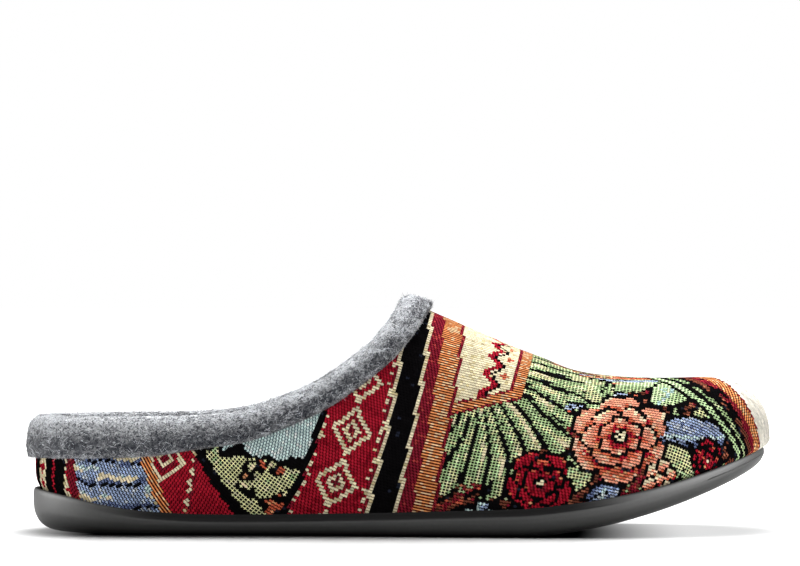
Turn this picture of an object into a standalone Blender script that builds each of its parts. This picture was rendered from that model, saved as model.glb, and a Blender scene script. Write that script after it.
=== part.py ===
"""A right-foot house slipper: woven upper, folded felt collar, moulded cup sole and insole.

Tables are in millimetres and meshes in metres. +X points to the toe, +Y to the inner side of the foot and +Z up.
The origin is on the ground under the middle of the slipper's box. A column's turn runs round the foot: 0 at the
heel, 1 at the toe along the outer side, and back to 2 at the heel along the inner side.
"""

from collections import namedtuple

import bmesh
import bpy
import numpy as np

MM = 0.001

# Driving sizes.
LENGTH = 270.0
BALL_WIDTH = 97.4
HEEL_WIDTH = 67.0
INSTEP_HEIGHT = 83.4
HEEL_HEIGHT = 39.1
TOE_SPRING = 24.6

# Plan of the sole, measured along X from the middle of the slipper.
HEEL_X = -0.4911 * LENGTH
TOE_X = 0.4941 * LENGTH
HEEL_CENTRE_X = -92.0
BALL_X = 53.0
HEEL_FULLNESS = 2.3
TOE_FULLNESS_LATERAL = 2.05
TOE_FULLNESS_MEDIAL = 2.5
TOE_IN = 5.0
WIDENING_POWER = 1.35
WAIST_CUT = 6.0
WAIST_POWER = 1.15

# Walls and gaps.
GAP = 0.3
WALL = 2.2
SLOT_INSIDE = WALL + 1.5 * GAP
LIP_HEIGHT = 2.2
SHOULDER = 0.25
INSOLE_THICKNESS = 3.5
INSOLE_EDGE = 1.0
UPPER_INSET = 2.4
INSOLE_INSET = UPPER_INSET + WALL + 2 * GAP

# Toe spring of the tread.
SPRING_START_X = 42.0
SPRING_POWER = 1.75

# Rounding of the upper's sections and the spread of its rings.
SECTION_POWER = 2.4
RING_POWER = 2.4
RING_SPREAD = 1.25
FLARE_RISE = 2.5
FLARE_FADE = 16.0

# Collar edge.
EDGE_TIP_X = 4.0
FAN_START_X = -60.0
REAR_REACH = 14.0

# Counts and steps.
COLUMNS = 96
UPPER_RINGS = 11
COLLAR_STEPS = 60
BISECTIONS = 45
TURN_PROBE = 0.01
CLIMB_PROBE = 0.02
LATERAL, MEDIAL = -1, 1

# Sole: heights of its rim and floor over the tread, inset of the lip under the rim, and how far the tread's edge is
# tucked in under each side.
SoleRow = namedtuple("SoleRow", "x rim floor lip lateral medial")
SOLE = (
    SoleRow(HEEL_X, 16.2, 10.0, 0.5, 14.0, 14.0),
    SoleRow(-120.0, 14.0, 7.6, 0.6, 11.0, 11.0),
    SoleRow(-106.0, 10.9, 5.6, 0.8, 8.5, 8.5),
    SoleRow(-90.0, 8.6, 4.8, 1.1, 7.0, 7.5),
    SoleRow(-65.0, 7.5, 4.6, 1.1, 6.0, 9.0),
    SoleRow(-15.0, 8.2, 4.6, 1.1, 6.0, 13.0),
    SoleRow(30.0, 9.6, 4.8, 1.1, 6.0, 7.0),
    SoleRow(60.0, 10.35, 5.0, 1.1, 6.5, 6.5),
    SoleRow(95.0, 8.85, 4.6, 0.9, 7.5, 7.5),
    SoleRow(TOE_X, 6.5, 4.0, 0.5, 9.0, 9.0),
)

# Side of the sole from the tread's edge up to its widest line: shares of the tuck and of the rim height.
SideRow = namedtuple("SideRow", "tuck height")
SIDE = (
    SideRow(1.0, 0.0),
    SideRow(0.55, 0.07),
    SideRow(0.25, 0.22),
    SideRow(0.06, 0.45),
    SideRow(0.0, 0.66),
)

# Sections of the last: crown line, drop of the top from crown to wall, run of the wall's rounding, wall flare.
Section = namedtuple("Section", "x ridge drop run flare")
SECTIONS = (
    Section(HEEL_X, 108.0, 0.0, 34.0, 2.0),
    Section(-60.0, 104.0, 0.0, 34.0, 1.4),
    Section(-20.0, 93.5, 18.0, 38.0, 1.2),
    Section(EDGE_TIP_X, INSTEP_HEIGHT, 27.0, 40.0, 1.2),
    Section(22.0, 75.6, 25.0, 40.0, 1.2),
    Section(37.0, 69.4, 21.0, 38.0, 1.2),
    Section(51.0, 63.3, 17.0, 36.0, 1.4),
    Section(66.0, 58.3, 14.0, 33.0, 1.8),
    Section(81.0, 56.1, 11.0, 30.0, 2.4),
    Section(96.0, 55.6, 9.0, 27.0, 3.2),
    Section(112.0, 56.0, 8.0, 23.0, 4.2),
    Section(TOE_X, 57.0, 6.0, 21.0, 5.5),
)

# Top edge of the upper seen from the side, with the drop of the felt band below it.
Edge = namedtuple("Edge", "x z band")
EDGE = (
    Edge(HEEL_X, HEEL_HEIGHT, 12.2),
    Edge(-90.0, 39.5, 11.4),
    Edge(-72.0, 40.0, 9.4),
    Edge(-57.0, 41.5, 8.6),
    Edge(-43.0, 45.6, 8.0),
    Edge(-28.5, 51.9, 7.7),
    Edge(-14.0, 61.9, 7.6),
    Edge(-7.0, 68.0, 7.6),
    Edge(0.0, 76.6, 7.8),
    Edge(EDGE_TIP_X, INSTEP_HEIGHT, 8.0),
)

# Section of the felt band: share of the band's drop, extra rise over the edge, stand-off from the tapestry.
Roll = namedtuple("Roll", "band rise out")
ROLL = (
    Roll(1.0, 0.0, GAP),
    Roll(1.0, 0.4, 1.5),
    Roll(0.86, 0.0, 2.7),
    Roll(0.5, 0.0, 3.3),
    Roll(0.0, 0.0, 3.1),
    Roll(0.0, 2.2, 1.7),
    Roll(0.0, 3.2, -0.8),
    Roll(0.0, 2.2, -3.4),
    Roll(0.0, 0.0, -4.7),
    Roll(0.5, 0.0, -4.9),
    Roll(0.86, 0.0, -4.3),
    Roll(0.9, 0.0, -SLOT_INSIDE),
    Roll(0.5, 0.0, -SLOT_INSIDE),
    Roll(0.0, GAP, -SLOT_INSIDE),
    Roll(0.0, GAP, GAP),
    Roll(0.5, 0.0, GAP),
)

Finish = namedtuple("Finish", "colour roughness")
FINISHES = {
    "sole": Finish((0.07, 0.07, 0.066), 0.55),
    "upper": Finish((0.2, 0.03, 0.035), 0.85),
    "collar": Finish((0.3, 0.3, 0.31), 0.95),
    "insole": Finish((0.25, 0.25, 0.26), 0.95),
}


def at(rows, column, x):
    """Reads a table's column at x along a smooth curve through its rows, held level beyond the ends."""
    stations = np.array([row.x for row in rows])
    values = np.array([getattr(row, column) for row in rows])
    before = np.maximum(np.arange(len(rows)) - 1, 0)
    after = np.minimum(np.arange(len(rows)) + 1, len(rows) - 1)
    slopes = (values[after] - values[before]) / (stations[after] - stations[before])
    x = np.clip(x, stations[0], stations[-1])
    i = np.clip(np.searchsorted(stations, x, side="right") - 1, 0, len(rows) - 2)
    span = stations[i + 1] - stations[i]
    t = (x - stations[i]) / span
    start = values[i] * (1 + 2 * t) + slopes[i] * span * t
    end = values[i + 1] * (3 - 2 * t) + slopes[i + 1] * span * (t - 1)
    return start * (1 - t) ** 2 + end * t**2


def spine(x):
    """Middle line of the plan, turning in towards the big toe."""
    t = np.maximum(0.0, x - BALL_X) / (TOE_X - BALL_X)
    return TOE_IN * t**2


def half_width(x, side):
    """Half width of the sole from its spine, before the rounding of the heel and toe."""
    t = (np.clip(x, HEEL_CENTRE_X, BALL_X) - HEEL_CENTRE_X) / (BALL_X - HEEL_CENTRE_X)
    widening = (1 - np.cos(np.pi * t**WIDENING_POWER)) / 2
    waist = np.where(side == MEDIAL, WAIST_CUT * np.sin(np.pi * t**WAIST_POWER) ** 2, 0.0)
    return (HEEL_WIDTH + (BALL_WIDTH - HEEL_WIDTH) * widening) / 2 - waist


def end_run(x, side, inset):
    """Share of the rounded heel or toe run through at x, 0 between the two, and the fullness of that end."""
    toe = (x - BALL_X) / (TOE_X - inset - BALL_X)
    heel = (HEEL_CENTRE_X - x) / (HEEL_CENTRE_X - HEEL_X - inset)
    full = np.where(side == MEDIAL, TOE_FULLNESS_MEDIAL, TOE_FULLNESS_LATERAL)
    return np.clip(np.maximum(toe, heel), 0.0, 1.0), np.where(x < BALL_X, HEEL_FULLNESS, full)


def outline(turn, inset):
    """Plan points at the turns, on the sole's outline moved in by inset."""
    turn = np.mod(turn, 2.0)
    side = np.where(turn <= 1.0, LATERAL, MEDIAL)
    low, high = HEEL_X + inset, TOE_X - inset
    x = (low + high) / 2 - (high - low) / 2 * np.cos(np.pi * turn)
    run, full = end_run(x, side, inset)
    reach = (half_width(x, side) - inset) * (1 - run**full) ** (1 / full)
    return np.stack([x, spine(x) + side * reach], axis=-1)


def outward(turn, inset):
    """Unit plan normals of the outline at the turns, pointing away from the foot."""
    along = outline(turn + TURN_PROBE, inset) - outline(turn - TURN_PROBE, inset)
    normal = np.stack([along[..., 1], -along[..., 0]], axis=-1)
    return normal / np.linalg.norm(normal, axis=-1, keepdims=True)


def tread(x):
    """Height of the tread over the ground."""
    t = np.maximum(0.0, x - SPRING_START_X) / (TOE_X - SPRING_START_X)
    return TOE_SPRING * t**SPRING_POWER


def floor(x):
    """Height of the sole's floor, on which the upper and the insole stand."""
    return tread(x) + at(SOLE, "floor", x)


def rim(x):
    """Height of the sole's rim."""
    return tread(x) + at(SOLE, "rim", x)


def height(plan):
    """Height of the last over plan points."""
    x, across = plan[..., 0], plan[..., 1] - spine(plan[..., 0])
    side = np.where(across < 0.0, LATERAL, MEDIAL)
    reach = half_width(x, side) - UPPER_INSET
    across = np.abs(across)
    run, full = end_run(x, side, UPPER_INSET)
    share = (run**full + (across / reach) ** full) ** (1 / full)
    centre = np.clip(x, HEEL_CENTRE_X, BALL_X)
    radius = np.hypot(x - centre, across)
    inside = np.where(run > 0.0, radius * (1 / np.maximum(share, 1e-9) - 1), reach - across)
    depth = np.clip(inside / at(SECTIONS, "run", x), 0.0, 1.0)
    top = at(SECTIONS, "ridge", x) - at(SECTIONS, "drop", x) * (across / reach) ** 2
    base = floor(x) + GAP
    return base + (top - base) * (1 - (1 - depth) ** SECTION_POWER) ** (1 / SECTION_POWER)


def climb_to_edge(start, end):
    """Plan points between start and end where the last reaches the collar edge."""
    low, high = np.zeros(len(start)), np.ones(len(start))
    for _ in range(BISECTIONS):
        middle = (low + high) / 2
        plan = start + (end - start) * middle[:, None]
        under = height(plan) < at(EDGE, "z", plan[:, 0])
        low, high = np.where(under, middle, low), np.where(under, high, middle)
    return start + (end - start) * low[:, None]


def edge_points(turn):
    """Plan points where the columns meet the collar edge, before the wall's flare."""
    turn = np.mod(turn, 2.0)
    side = np.where(turn <= 1.0, LATERAL, MEDIAL)
    low, high = HEEL_X + UPPER_INSET, TOE_X - UPPER_INSET
    fan_turn = np.arccos((low + high - 2 * FAN_START_X) / (high - low)) / np.pi
    share = np.clip((np.minimum(turn, 2.0 - turn) - fan_turn) / (1 - fan_turn), 0.0, 1.0)
    foot = outline(turn, UPPER_INSET)
    rear = climb_to_edge(foot, foot - outward(turn, UPPER_INSET) * REAR_REACH)
    x = EDGE_TIP_X - (EDGE_TIP_X - FAN_START_X) * (1 - share) ** 2
    middle = np.stack([x, spine(x)], axis=-1)
    wall = np.stack([x, spine(x) + side * (half_width(x, side) - UPPER_INSET)], axis=-1)
    front = np.where(share[:, None] < 1.0, climb_to_edge(wall, middle), middle)
    return np.where(share[:, None] > 0.0, front, rear)


def last_points(turn, climb):
    """Points on the outside of the upper: columns at the turns, each climbed from the sole to the collar edge."""
    foot = outline(turn, UPPER_INSET)
    plan = foot + (edge_points(turn) - foot) * climb[:, None] ** RING_POWER
    z = np.where(climb > 0.0, height(plan), floor(plan[:, 0]) + GAP)
    over = np.maximum(0.0, z - rim(plan[:, 0]))
    swell = over**2 / (over**2 + FLARE_RISE**2)
    near = np.exp(-((np.linalg.norm(plan - foot, axis=-1) / FLARE_FADE) ** 2))
    flare = at(SECTIONS, "flare", foot[:, 0]) * swell * near
    return np.column_stack([plan + outward(turn, UPPER_INSET) * flare[:, None], z])


def last_rise(turn, climb):
    """Unit directions in which the columns climb."""
    low, high = np.maximum(0.0, climb - CLIMB_PROBE), np.minimum(1.0, climb + CLIMB_PROBE)
    rise = last_points(turn, high) - last_points(turn, low)
    return rise / np.linalg.norm(rise, axis=-1, keepdims=True)


def last_normals(turn, climb):
    """Unit normals of the outside of the upper."""
    along = last_points(turn + TURN_PROBE, climb) - last_points(turn - TURN_PROBE, climb)
    normal = np.cross(along, last_rise(turn, climb))
    return normal / np.linalg.norm(normal, axis=-1, keepdims=True)


def rim_climb(turn):
    """Share of each column's climb at which it passes the sole's rim."""
    low, high = np.zeros(len(turn)), np.ones(len(turn))
    for _ in range(BISECTIONS):
        middle = (low + high) / 2
        points = last_points(turn, middle)
        under = points[:, 2] < rim(points[:, 0])
        low, high = np.where(under, middle, low), np.where(under, high, middle)
    return low


def edge_climb(turn, drop):
    """Share of each column's climb at the length drop below its edge, measured along the cloth."""
    steps = [np.full(len(turn), 1 - k / COLLAR_STEPS) for k in range(COLLAR_STEPS + 1)]
    points = np.array([last_points(turn, step) for step in steps])
    lengths = np.cumsum(np.linalg.norm(np.diff(points, axis=0), axis=-1), axis=0)
    lengths = np.vstack([np.zeros(len(turn)), lengths])
    marks = [step[0] for step in steps]
    return np.array([np.interp(d, lengths[:, i], marks) for i, d in enumerate(drop)])


def new_object(name, bm):
    """Turns a bmesh in millimetres into a named object with its own material."""
    bmesh.ops.scale(bm, vec=(MM, MM, MM), verts=bm.verts)
    bmesh.ops.recalc_face_normals(bm, faces=bm.faces)
    mesh = bpy.data.meshes.new(name)
    bm.to_mesh(mesh)
    bm.free()
    material = bpy.data.materials.new(name)
    material.use_nodes = True
    shader = material.node_tree.nodes["Principled BSDF"]
    shader.inputs["Base Color"].default_value = (*FINISHES[name].colour, 1.0)
    shader.inputs["Roughness"].default_value = FINISHES[name].roughness
    mesh.materials.append(material)
    made = bpy.data.objects.new(name, mesh)
    bpy.context.scene.collection.objects.link(made)
    return made


def loop(bm, points):
    """Adds a closed loop of edges through the points and returns its vertices and edges."""
    verts = bmesh.ops.create_circle(bm, segments=len(points), radius=1.0)["verts"]
    for vert, point in zip(verts, points):
        vert.co = point
    return verts, list({edge for vert in verts for edge in vert.link_edges})


def bridged(bm, rings, closed):
    """Bridges the rings one to the next, and the last to the first when closed."""
    loops = [loop(bm, ring) for ring in rings]
    pairs = list(zip(loops, loops[1:])) + ([(loops[-1], loops[0])] if closed else [])
    for (_, first), (_, second) in pairs:
        bmesh.ops.bridge_loops(bm, edges=first + second)
    return loops


def ladder(bm, verts):
    """Closes a loop with rungs from its outer to its inner side."""
    for i in range(COLUMNS // 2):
        corners = [verts[i], verts[i + 1], verts[COLUMNS - i - 1], verts[-i]]
        bm.faces.new(list(dict.fromkeys(corners)))


def level_ring(inset, height_at):
    """Ring on the outline moved in by inset, at the height that height_at gives along x."""
    plan = outline(TURNS, inset)
    return np.column_stack([plan, height_at(plan[:, 0])])


def capped(name, rings):
    """Object with the rings as its skin and ladders across its first and last ring."""
    bm = bmesh.new()
    loops = bridged(bm, rings, closed=False)
    ladder(bm, loops[0][0])
    ladder(bm, loops[-1][0])
    return new_object(name, bm)


def make_sole():
    """Cup sole: tread, rounded side, stepped lip and the floor inside."""
    x = outline(TURNS, 0.0)[:, 0]
    tuck = np.where(TURNS <= 1.0, at(SOLE, "lateral", x), at(SOLE, "medial", x))
    rings = []
    for row in SIDE:
        rings.append(level_ring(tuck * row.tuck, lambda x: tread(x) + at(SOLE, "rim", x) * row.height))
    lip_outer = at(SOLE, "lip", x)
    lip_inner = UPPER_INSET - GAP
    rings += [
        level_ring(SHOULDER, lambda x: rim(x) - LIP_HEIGHT - SHOULDER),
        level_ring(lip_outer, lambda x: rim(x) - LIP_HEIGHT),
        level_ring(lip_outer, lambda x: rim(x) - SHOULDER),
        level_ring(lip_outer + SHOULDER, rim),
        level_ring(lip_inner, rim),
        level_ring(lip_inner, floor),
    ]
    return capped("sole", rings)


def make_upper():
    """Woven upper: one wall between the last and its inner face, open at the collar and underneath."""
    band = at(EDGE, "band", edge_points(TURNS)[:, 0])
    start, end = rim_climb(TURNS), edge_climb(TURNS, band)
    climbs = [np.zeros(COLUMNS)]
    for share in np.linspace(0.0, 1.0, UPPER_RINGS) ** RING_SPREAD:
        climbs.append(start + (end - start) * share)
    climbs += [edge_climb(TURNS, band / 2), np.ones(COLUMNS)]
    outer = [last_points(TURNS, climb) for climb in climbs]
    inner = [ring - last_normals(TURNS, climb) * WALL for ring, climb in zip(outer, climbs)]
    inner[0][:, 2] = outer[0][:, 2]
    bm = bmesh.new()
    bridged(bm, outer + inner[::-1], closed=True)
    return new_object("upper", bm)


def make_collar():
    """Felt band folded over the top edge of the upper."""
    band = at(EDGE, "band", edge_points(TURNS)[:, 0])
    up = last_rise(TURNS, np.ones(COLUMNS))
    rings = []
    for row in ROLL:
        climb = edge_climb(TURNS, row.band * band)
        stand_off = last_normals(TURNS, climb) * row.out
        rings.append(last_points(TURNS, climb) + stand_off + up * row.rise)
    bm = bmesh.new()
    bridged(bm, rings, closed=True)
    return new_object("collar", bm)


def make_insole():
    """Felt-covered footbed on the floor of the sole."""
    top = GAP + INSOLE_THICKNESS
    return capped(
        "insole",
        [
            level_ring(INSOLE_INSET, lambda x: floor(x) + GAP),
            level_ring(INSOLE_INSET, lambda x: floor(x) + top - INSOLE_EDGE),
            level_ring(INSOLE_INSET + INSOLE_EDGE, lambda x: floor(x) + top),
        ],
    )


TURNS = np.arange(COLUMNS) * 2.0 / COLUMNS
for old in list(bpy.data.objects):
    bpy.data.objects.remove(old)
make_sole()
make_upper()
make_collar()
make_insole()
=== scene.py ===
"""Looks of a right-foot house slipper: woven upper, felt collar and lining, moulded sole and a white studio.

Form tables are in millimetres and meshes in metres. +X points to the toe, +Y to the inner side of the foot
and +Z up. A column's turn runs round the foot: 0 at the heel, 1 at the toe along the outer side and 2 at the
heel again. A climb runs up a column from 0 at the sole's floor to 1 at the collar edge.
"""

import logging
import math
from collections.abc import Sequence
from dataclasses import dataclass
from enum import Enum
from functools import cached_property
from typing import Any

import bmesh
import bpy
import numpy as np
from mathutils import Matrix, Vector
from mathutils.bvhtree import BVHTree


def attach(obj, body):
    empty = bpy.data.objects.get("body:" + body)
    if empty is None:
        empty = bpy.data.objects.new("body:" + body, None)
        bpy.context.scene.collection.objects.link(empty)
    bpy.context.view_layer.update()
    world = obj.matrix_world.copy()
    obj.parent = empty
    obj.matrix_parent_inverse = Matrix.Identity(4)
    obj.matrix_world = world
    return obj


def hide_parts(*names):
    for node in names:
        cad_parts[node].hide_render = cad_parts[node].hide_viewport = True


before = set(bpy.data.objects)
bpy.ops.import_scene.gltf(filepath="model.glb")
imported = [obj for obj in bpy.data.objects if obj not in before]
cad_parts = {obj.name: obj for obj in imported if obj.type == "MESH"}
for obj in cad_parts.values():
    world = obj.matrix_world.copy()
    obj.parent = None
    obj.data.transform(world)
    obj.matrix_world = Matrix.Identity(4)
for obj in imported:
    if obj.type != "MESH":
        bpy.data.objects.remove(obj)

MM = 0.001
BODY = "root"
LOG = logging.getLogger("slipper")
MERGE_REACH = 1e-6
CUT_REACH = 1e-7
LEAST_LENGTH = 1e-9

# The noise has a table of random cells, a start that keeps places positive and numbers that scatter cells.
NOISE_CELLS = 4096
NOISE_ORIGIN = 500.0
NOISE_STRIDE, NOISE_SPREAD, NOISE_TWIST = 1619, 31337, 7

Array = np.ndarray
Pair = tuple[float, float]
Triple = tuple[float, float, float]
Colour = tuple[float, float, float]
Object = bpy.types.Object
Mesh = bpy.types.Mesh
Material = bpy.types.Material
Socket = bpy.types.NodeSocket
BMesh = bmesh.types.BMesh
UNLIT: Colour = (0.0, 0.0, 0.0)


class Side(Enum):
    """Sides of the foot, as signs along Y."""

    OUTER = -1
    INNER = 1


def smooth_step(value: Array, low: float, high: float) -> Array:
    """Eases from 0 at low to 1 at high."""
    t = np.clip((value - low) / (high - low), 0.0, 1.0)
    return t * t * (3 - 2 * t)


def between(value: Array, low: float, high: float) -> Array:
    """Mask of the values between low and high."""
    return (value > low) & (value < high)


def near(value: Array, middle: float, reach: float) -> Array:
    """Mask of the values nearer to the middle than reach."""
    return np.abs(value - middle) < reach


def turned(a: Array, b: Array, degrees: float) -> tuple[Array, Array]:
    """Coordinates on axes turned by an angle."""
    c, s = math.cos(math.radians(degrees)), math.sin(math.radians(degrees))
    return a * c + b * s, b * c - a * s


def unit(vectors: Array) -> Array:
    """Vectors brought to length 1."""
    return vectors / np.linalg.norm(vectors, axis=-1, keepdims=True)


def lattice_noise(points: Array, size: float, seed: int) -> Array:
    """Smooth seeded noise between 0 and 1.

    Args:
        points: Places, one per row, in two or three dimensions.
        size: Width of one lump, in the units of the points.
        seed: Number that picks the pattern.

    Returns:
        One value per place.
    """
    table = np.random.default_rng(seed).random(NOISE_CELLS)
    scaled = (points + NOISE_ORIGIN) / size
    base = np.floor(scaled).astype(int)
    part = smooth_step(scaled - base, 0.0, 1.0)
    total = np.zeros(len(points))
    for corner in np.ndindex(*(2,) * points.shape[1]):
        key = np.zeros(len(points), int)
        weight = np.ones(len(points))
        for axis, step in enumerate(corner):
            key = key * NOISE_STRIDE + (base[:, axis] + step) * NOISE_SPREAD + axis * NOISE_TWIST
            weight = weight * (part[:, axis] if step else 1 - part[:, axis])
        total += table[(key ^ (key >> NOISE_TWIST)) % NOISE_CELLS] * weight
    return total


@dataclass(frozen=True)
class Table:
    """A short table whose columns are read along its first one, on a smooth curve through the rows."""

    columns: tuple[str, ...]
    rows: tuple[tuple[float, ...], ...]

    def at(self, column: str, x: Array) -> Array:
        """Reads a column at x, held level beyond the ends.

        Args:
            column: Name of the column.
            x: Places along the first column.

        Returns:
            The column's values there.
        """
        data = np.array(self.rows)
        stations, values = data[:, 0], data[:, self.columns.index(column)]
        last = len(stations) - 1
        before = np.maximum(np.arange(last + 1) - 1, 0)
        after = np.minimum(np.arange(last + 1) + 1, last)
        slopes = (values[after] - values[before]) / (stations[after] - stations[before])
        x = np.clip(x, stations[0], stations[-1])
        i = np.clip(np.searchsorted(stations, x, side="right") - 1, 0, last - 1)
        span = stations[i + 1] - stations[i]
        t = (x - stations[i]) / span
        start = values[i] * (1 + 2 * t) + slopes[i] * span * t
        end = values[i + 1] * (3 - 2 * t) + slopes[i + 1] * span * (t - 1)
        return start * (1 - t) ** 2 + end * t**2


@dataclass(frozen=True)
class Last:
    """The slipper's own form: plan, tread, sections and collar edge, in the sizes of its solids."""

    heel_x: float = -132.597
    toe_x: float = 133.407
    heel_centre_x: float = -92.0
    ball_x: float = 53.0
    heel_width: float = 67.0
    ball_width: float = 97.4
    heel_fullness: float = 2.3
    toe_fullness_outer: float = 2.05
    toe_fullness_inner: float = 2.5
    toe_in: float = 5.0
    widening_power: float = 1.35
    waist_cut: float = 6.0
    waist_power: float = 1.15
    gap: float = 0.3
    upper_inset: float = 2.4
    toe_spring: float = 24.6
    spring_start_x: float = 42.0
    spring_power: float = 1.75
    section_power: float = 2.4
    ring_power: float = 2.4
    flare_rise: float = 2.5
    flare_fade: float = 16.0
    edge_tip_x: float = 4.0
    fan_start_x: float = -60.0
    rear_reach: float = 14.0
    turn_probe: float = 0.01
    climb_probe: float = 0.02
    bisections: int = 45
    edge_steps: int = 60
    edge_samples: int = 4000
    sole: Table = Table(
        ("x", "rim", "floor", "lip", "outer", "inner"),
        (
            (-132.597, 16.2, 10.0, 0.5, 14.0, 14.0),
            (-120.0, 14.0, 7.6, 0.6, 11.0, 11.0),
            (-106.0, 10.9, 5.6, 0.8, 8.5, 8.5),
            (-90.0, 8.6, 4.8, 1.1, 7.0, 7.5),
            (-65.0, 7.5, 4.6, 1.1, 6.0, 9.0),
            (-15.0, 8.2, 4.6, 1.1, 6.0, 13.0),
            (30.0, 9.6, 4.8, 1.1, 6.0, 7.0),
            (60.0, 10.35, 5.0, 1.1, 6.5, 6.5),
            (95.0, 8.85, 4.6, 0.9, 7.5, 7.5),
            (133.407, 6.5, 4.0, 0.5, 9.0, 9.0),
        ),
    )
    sections: Table = Table(
        ("x", "ridge", "drop", "run", "flare"),
        (
            (-132.597, 108.0, 0.0, 34.0, 2.0),
            (-60.0, 104.0, 0.0, 34.0, 1.4),
            (-20.0, 93.5, 18.0, 38.0, 1.2),
            (4.0, 83.4, 27.0, 40.0, 1.2),
            (22.0, 75.6, 25.0, 40.0, 1.2),
            (37.0, 69.4, 21.0, 38.0, 1.2),
            (51.0, 63.3, 17.0, 36.0, 1.4),
            (66.0, 58.3, 14.0, 33.0, 1.8),
            (81.0, 56.1, 11.0, 30.0, 2.4),
            (96.0, 55.6, 9.0, 27.0, 3.2),
            (112.0, 56.0, 8.0, 23.0, 4.2),
            (133.407, 57.0, 6.0, 21.0, 5.5),
        ),
    )
    edge: Table = Table(
        ("x", "z", "band"),
        (
            (-132.597, 39.1, 12.2),
            (-90.0, 39.5, 11.4),
            (-72.0, 40.0, 9.4),
            (-57.0, 41.5, 8.6),
            (-43.0, 45.6, 8.0),
            (-28.5, 51.9, 7.7),
            (-14.0, 61.9, 7.6),
            (-7.0, 68.0, 7.6),
            (0.0, 76.6, 7.8),
            (4.0, 83.4, 8.0),
        ),
    )

    def spine(self, x: Array) -> Array:
        """Middle line of the plan, turning in towards the big toe."""
        return self.toe_in * (np.maximum(0.0, x - self.ball_x) / (self.toe_x - self.ball_x)) ** 2

    def half_width(self, x: Array, side: Array) -> Array:
        """Half width of the sole from its spine, before the rounding of the heel and toe."""
        span = self.ball_x - self.heel_centre_x
        t = (np.clip(x, self.heel_centre_x, self.ball_x) - self.heel_centre_x) / span
        widening = (1 - np.cos(np.pi * t**self.widening_power)) / 2
        waist = self.waist_cut * np.sin(np.pi * t**self.waist_power) ** 2
        width = self.heel_width + (self.ball_width - self.heel_width) * widening
        return width / 2 - np.where(side == Side.INNER.value, waist, 0.0)

    def end_run(self, x: Array, side: Array, inset: Array | float) -> tuple[Array, Array]:
        """Share of the rounded heel or toe run through at x, and the fullness of that end."""
        toe = (x - self.ball_x) / (self.toe_x - inset - self.ball_x)
        heel = (self.heel_centre_x - x) / (self.heel_centre_x - self.heel_x - inset)
        full = np.where(side == Side.INNER.value, self.toe_fullness_inner, self.toe_fullness_outer)
        return np.clip(np.maximum(toe, heel), 0.0, 1.0), np.where(x < self.ball_x, self.heel_fullness, full)

    def outline(self, turn: Array, inset: Array | float) -> Array:
        """Plan points on the sole's outline moved in by inset.

        Args:
            turn: Places round the foot.
            inset: How far inside the outline, in millimetres.

        Returns:
            One plan point per turn.
        """
        turn = np.mod(turn, 2.0)
        side = np.where(turn <= 1.0, Side.OUTER.value, Side.INNER.value)
        low, high = self.heel_x + inset, self.toe_x - inset
        x = (low + high) / 2 - (high - low) / 2 * np.cos(np.pi * turn)
        run, full = self.end_run(x, side, inset)
        reach = (self.half_width(x, side) - inset) * (1 - run**full) ** (1 / full)
        return np.stack([x, self.spine(x) + side * reach], axis=-1)

    def drawn_in(self, turn: Array, inset: Array | float, share: float) -> Array:
        """Plan points on the outline moved in by inset, then drawn towards the spine by share."""
        plan = self.outline(turn, inset)
        plan[:, 1] += (self.spine(plan[:, 0]) - plan[:, 1]) * share
        return plan

    def outward(self, turn: Array, inset: Array | float) -> Array:
        """Unit plan normals of the outline, pointing away from the foot."""
        along = self.outline(turn + self.turn_probe, inset) - self.outline(turn - self.turn_probe, inset)
        return unit(np.stack([along[..., 1], -along[..., 0]], axis=-1))

    def tread(self, x: Array) -> Array:
        """Height of the tread over the ground."""
        t = np.maximum(0.0, x - self.spring_start_x) / (self.toe_x - self.spring_start_x)
        return self.toe_spring * t**self.spring_power

    def floor(self, x: Array) -> Array:
        """Height of the sole's floor, on which the upper and the insole stand."""
        return self.tread(x) + self.sole.at("floor", x)

    def rim(self, x: Array) -> Array:
        """Height of the sole's rim."""
        return self.tread(x) + self.sole.at("rim", x)

    def height(self, plan: Array) -> Array:
        """Height of the last over plan points.

        Args:
            plan: Plan points, one per row.

        Returns:
            One height per point.
        """
        x, across = plan[..., 0], plan[..., 1] - self.spine(plan[..., 0])
        side = np.where(across < 0.0, Side.OUTER.value, Side.INNER.value)
        reach = self.half_width(x, side) - self.upper_inset
        across = np.abs(across)
        run, full = self.end_run(x, side, self.upper_inset)
        share = (run**full + (across / reach) ** full) ** (1 / full)
        radius = np.hypot(x - np.clip(x, self.heel_centre_x, self.ball_x), across)
        tiny = np.finfo(float).eps
        inside = np.where(run > 0.0, radius * (1 / np.maximum(share, tiny) - 1), reach - across)
        depth = np.clip(inside / self.sections.at("run", x), 0.0, 1.0)
        top = self.sections.at("ridge", x) - self.sections.at("drop", x) * (across / reach) ** 2
        base = self.floor(x) + self.gap
        return base + (top - base) * (1 - (1 - depth) ** self.section_power) ** (1 / self.section_power)

    def climb_to_edge(self, start: Array, end: Array) -> Array:
        """Plan points between start and end where the last reaches the collar edge."""
        low, high = np.zeros(len(start)), np.ones(len(start))
        for _ in range(self.bisections):
            middle = (low + high) / 2
            plan = start + (end - start) * middle[:, None]
            under = self.height(plan) < self.edge.at("z", plan[:, 0])
            low, high = np.where(under, middle, low), np.where(under, high, middle)
        return start + (end - start) * low[:, None]

    @cached_property
    def edge_line(self) -> tuple[Array, Array]:
        """Turns round the foot and the plan points of the collar edge there."""
        turn = np.linspace(0.0, 2.0, self.edge_samples + 1)
        return turn, self.find_edge(turn)

    def edge_points(self, turn: Array) -> Array:
        """Plan points where the columns meet the collar edge."""
        marks, line = self.edge_line
        turn = np.mod(turn, 2.0)
        return np.stack([np.interp(turn, marks, line[:, axis]) for axis in range(2)], axis=-1)

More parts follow.
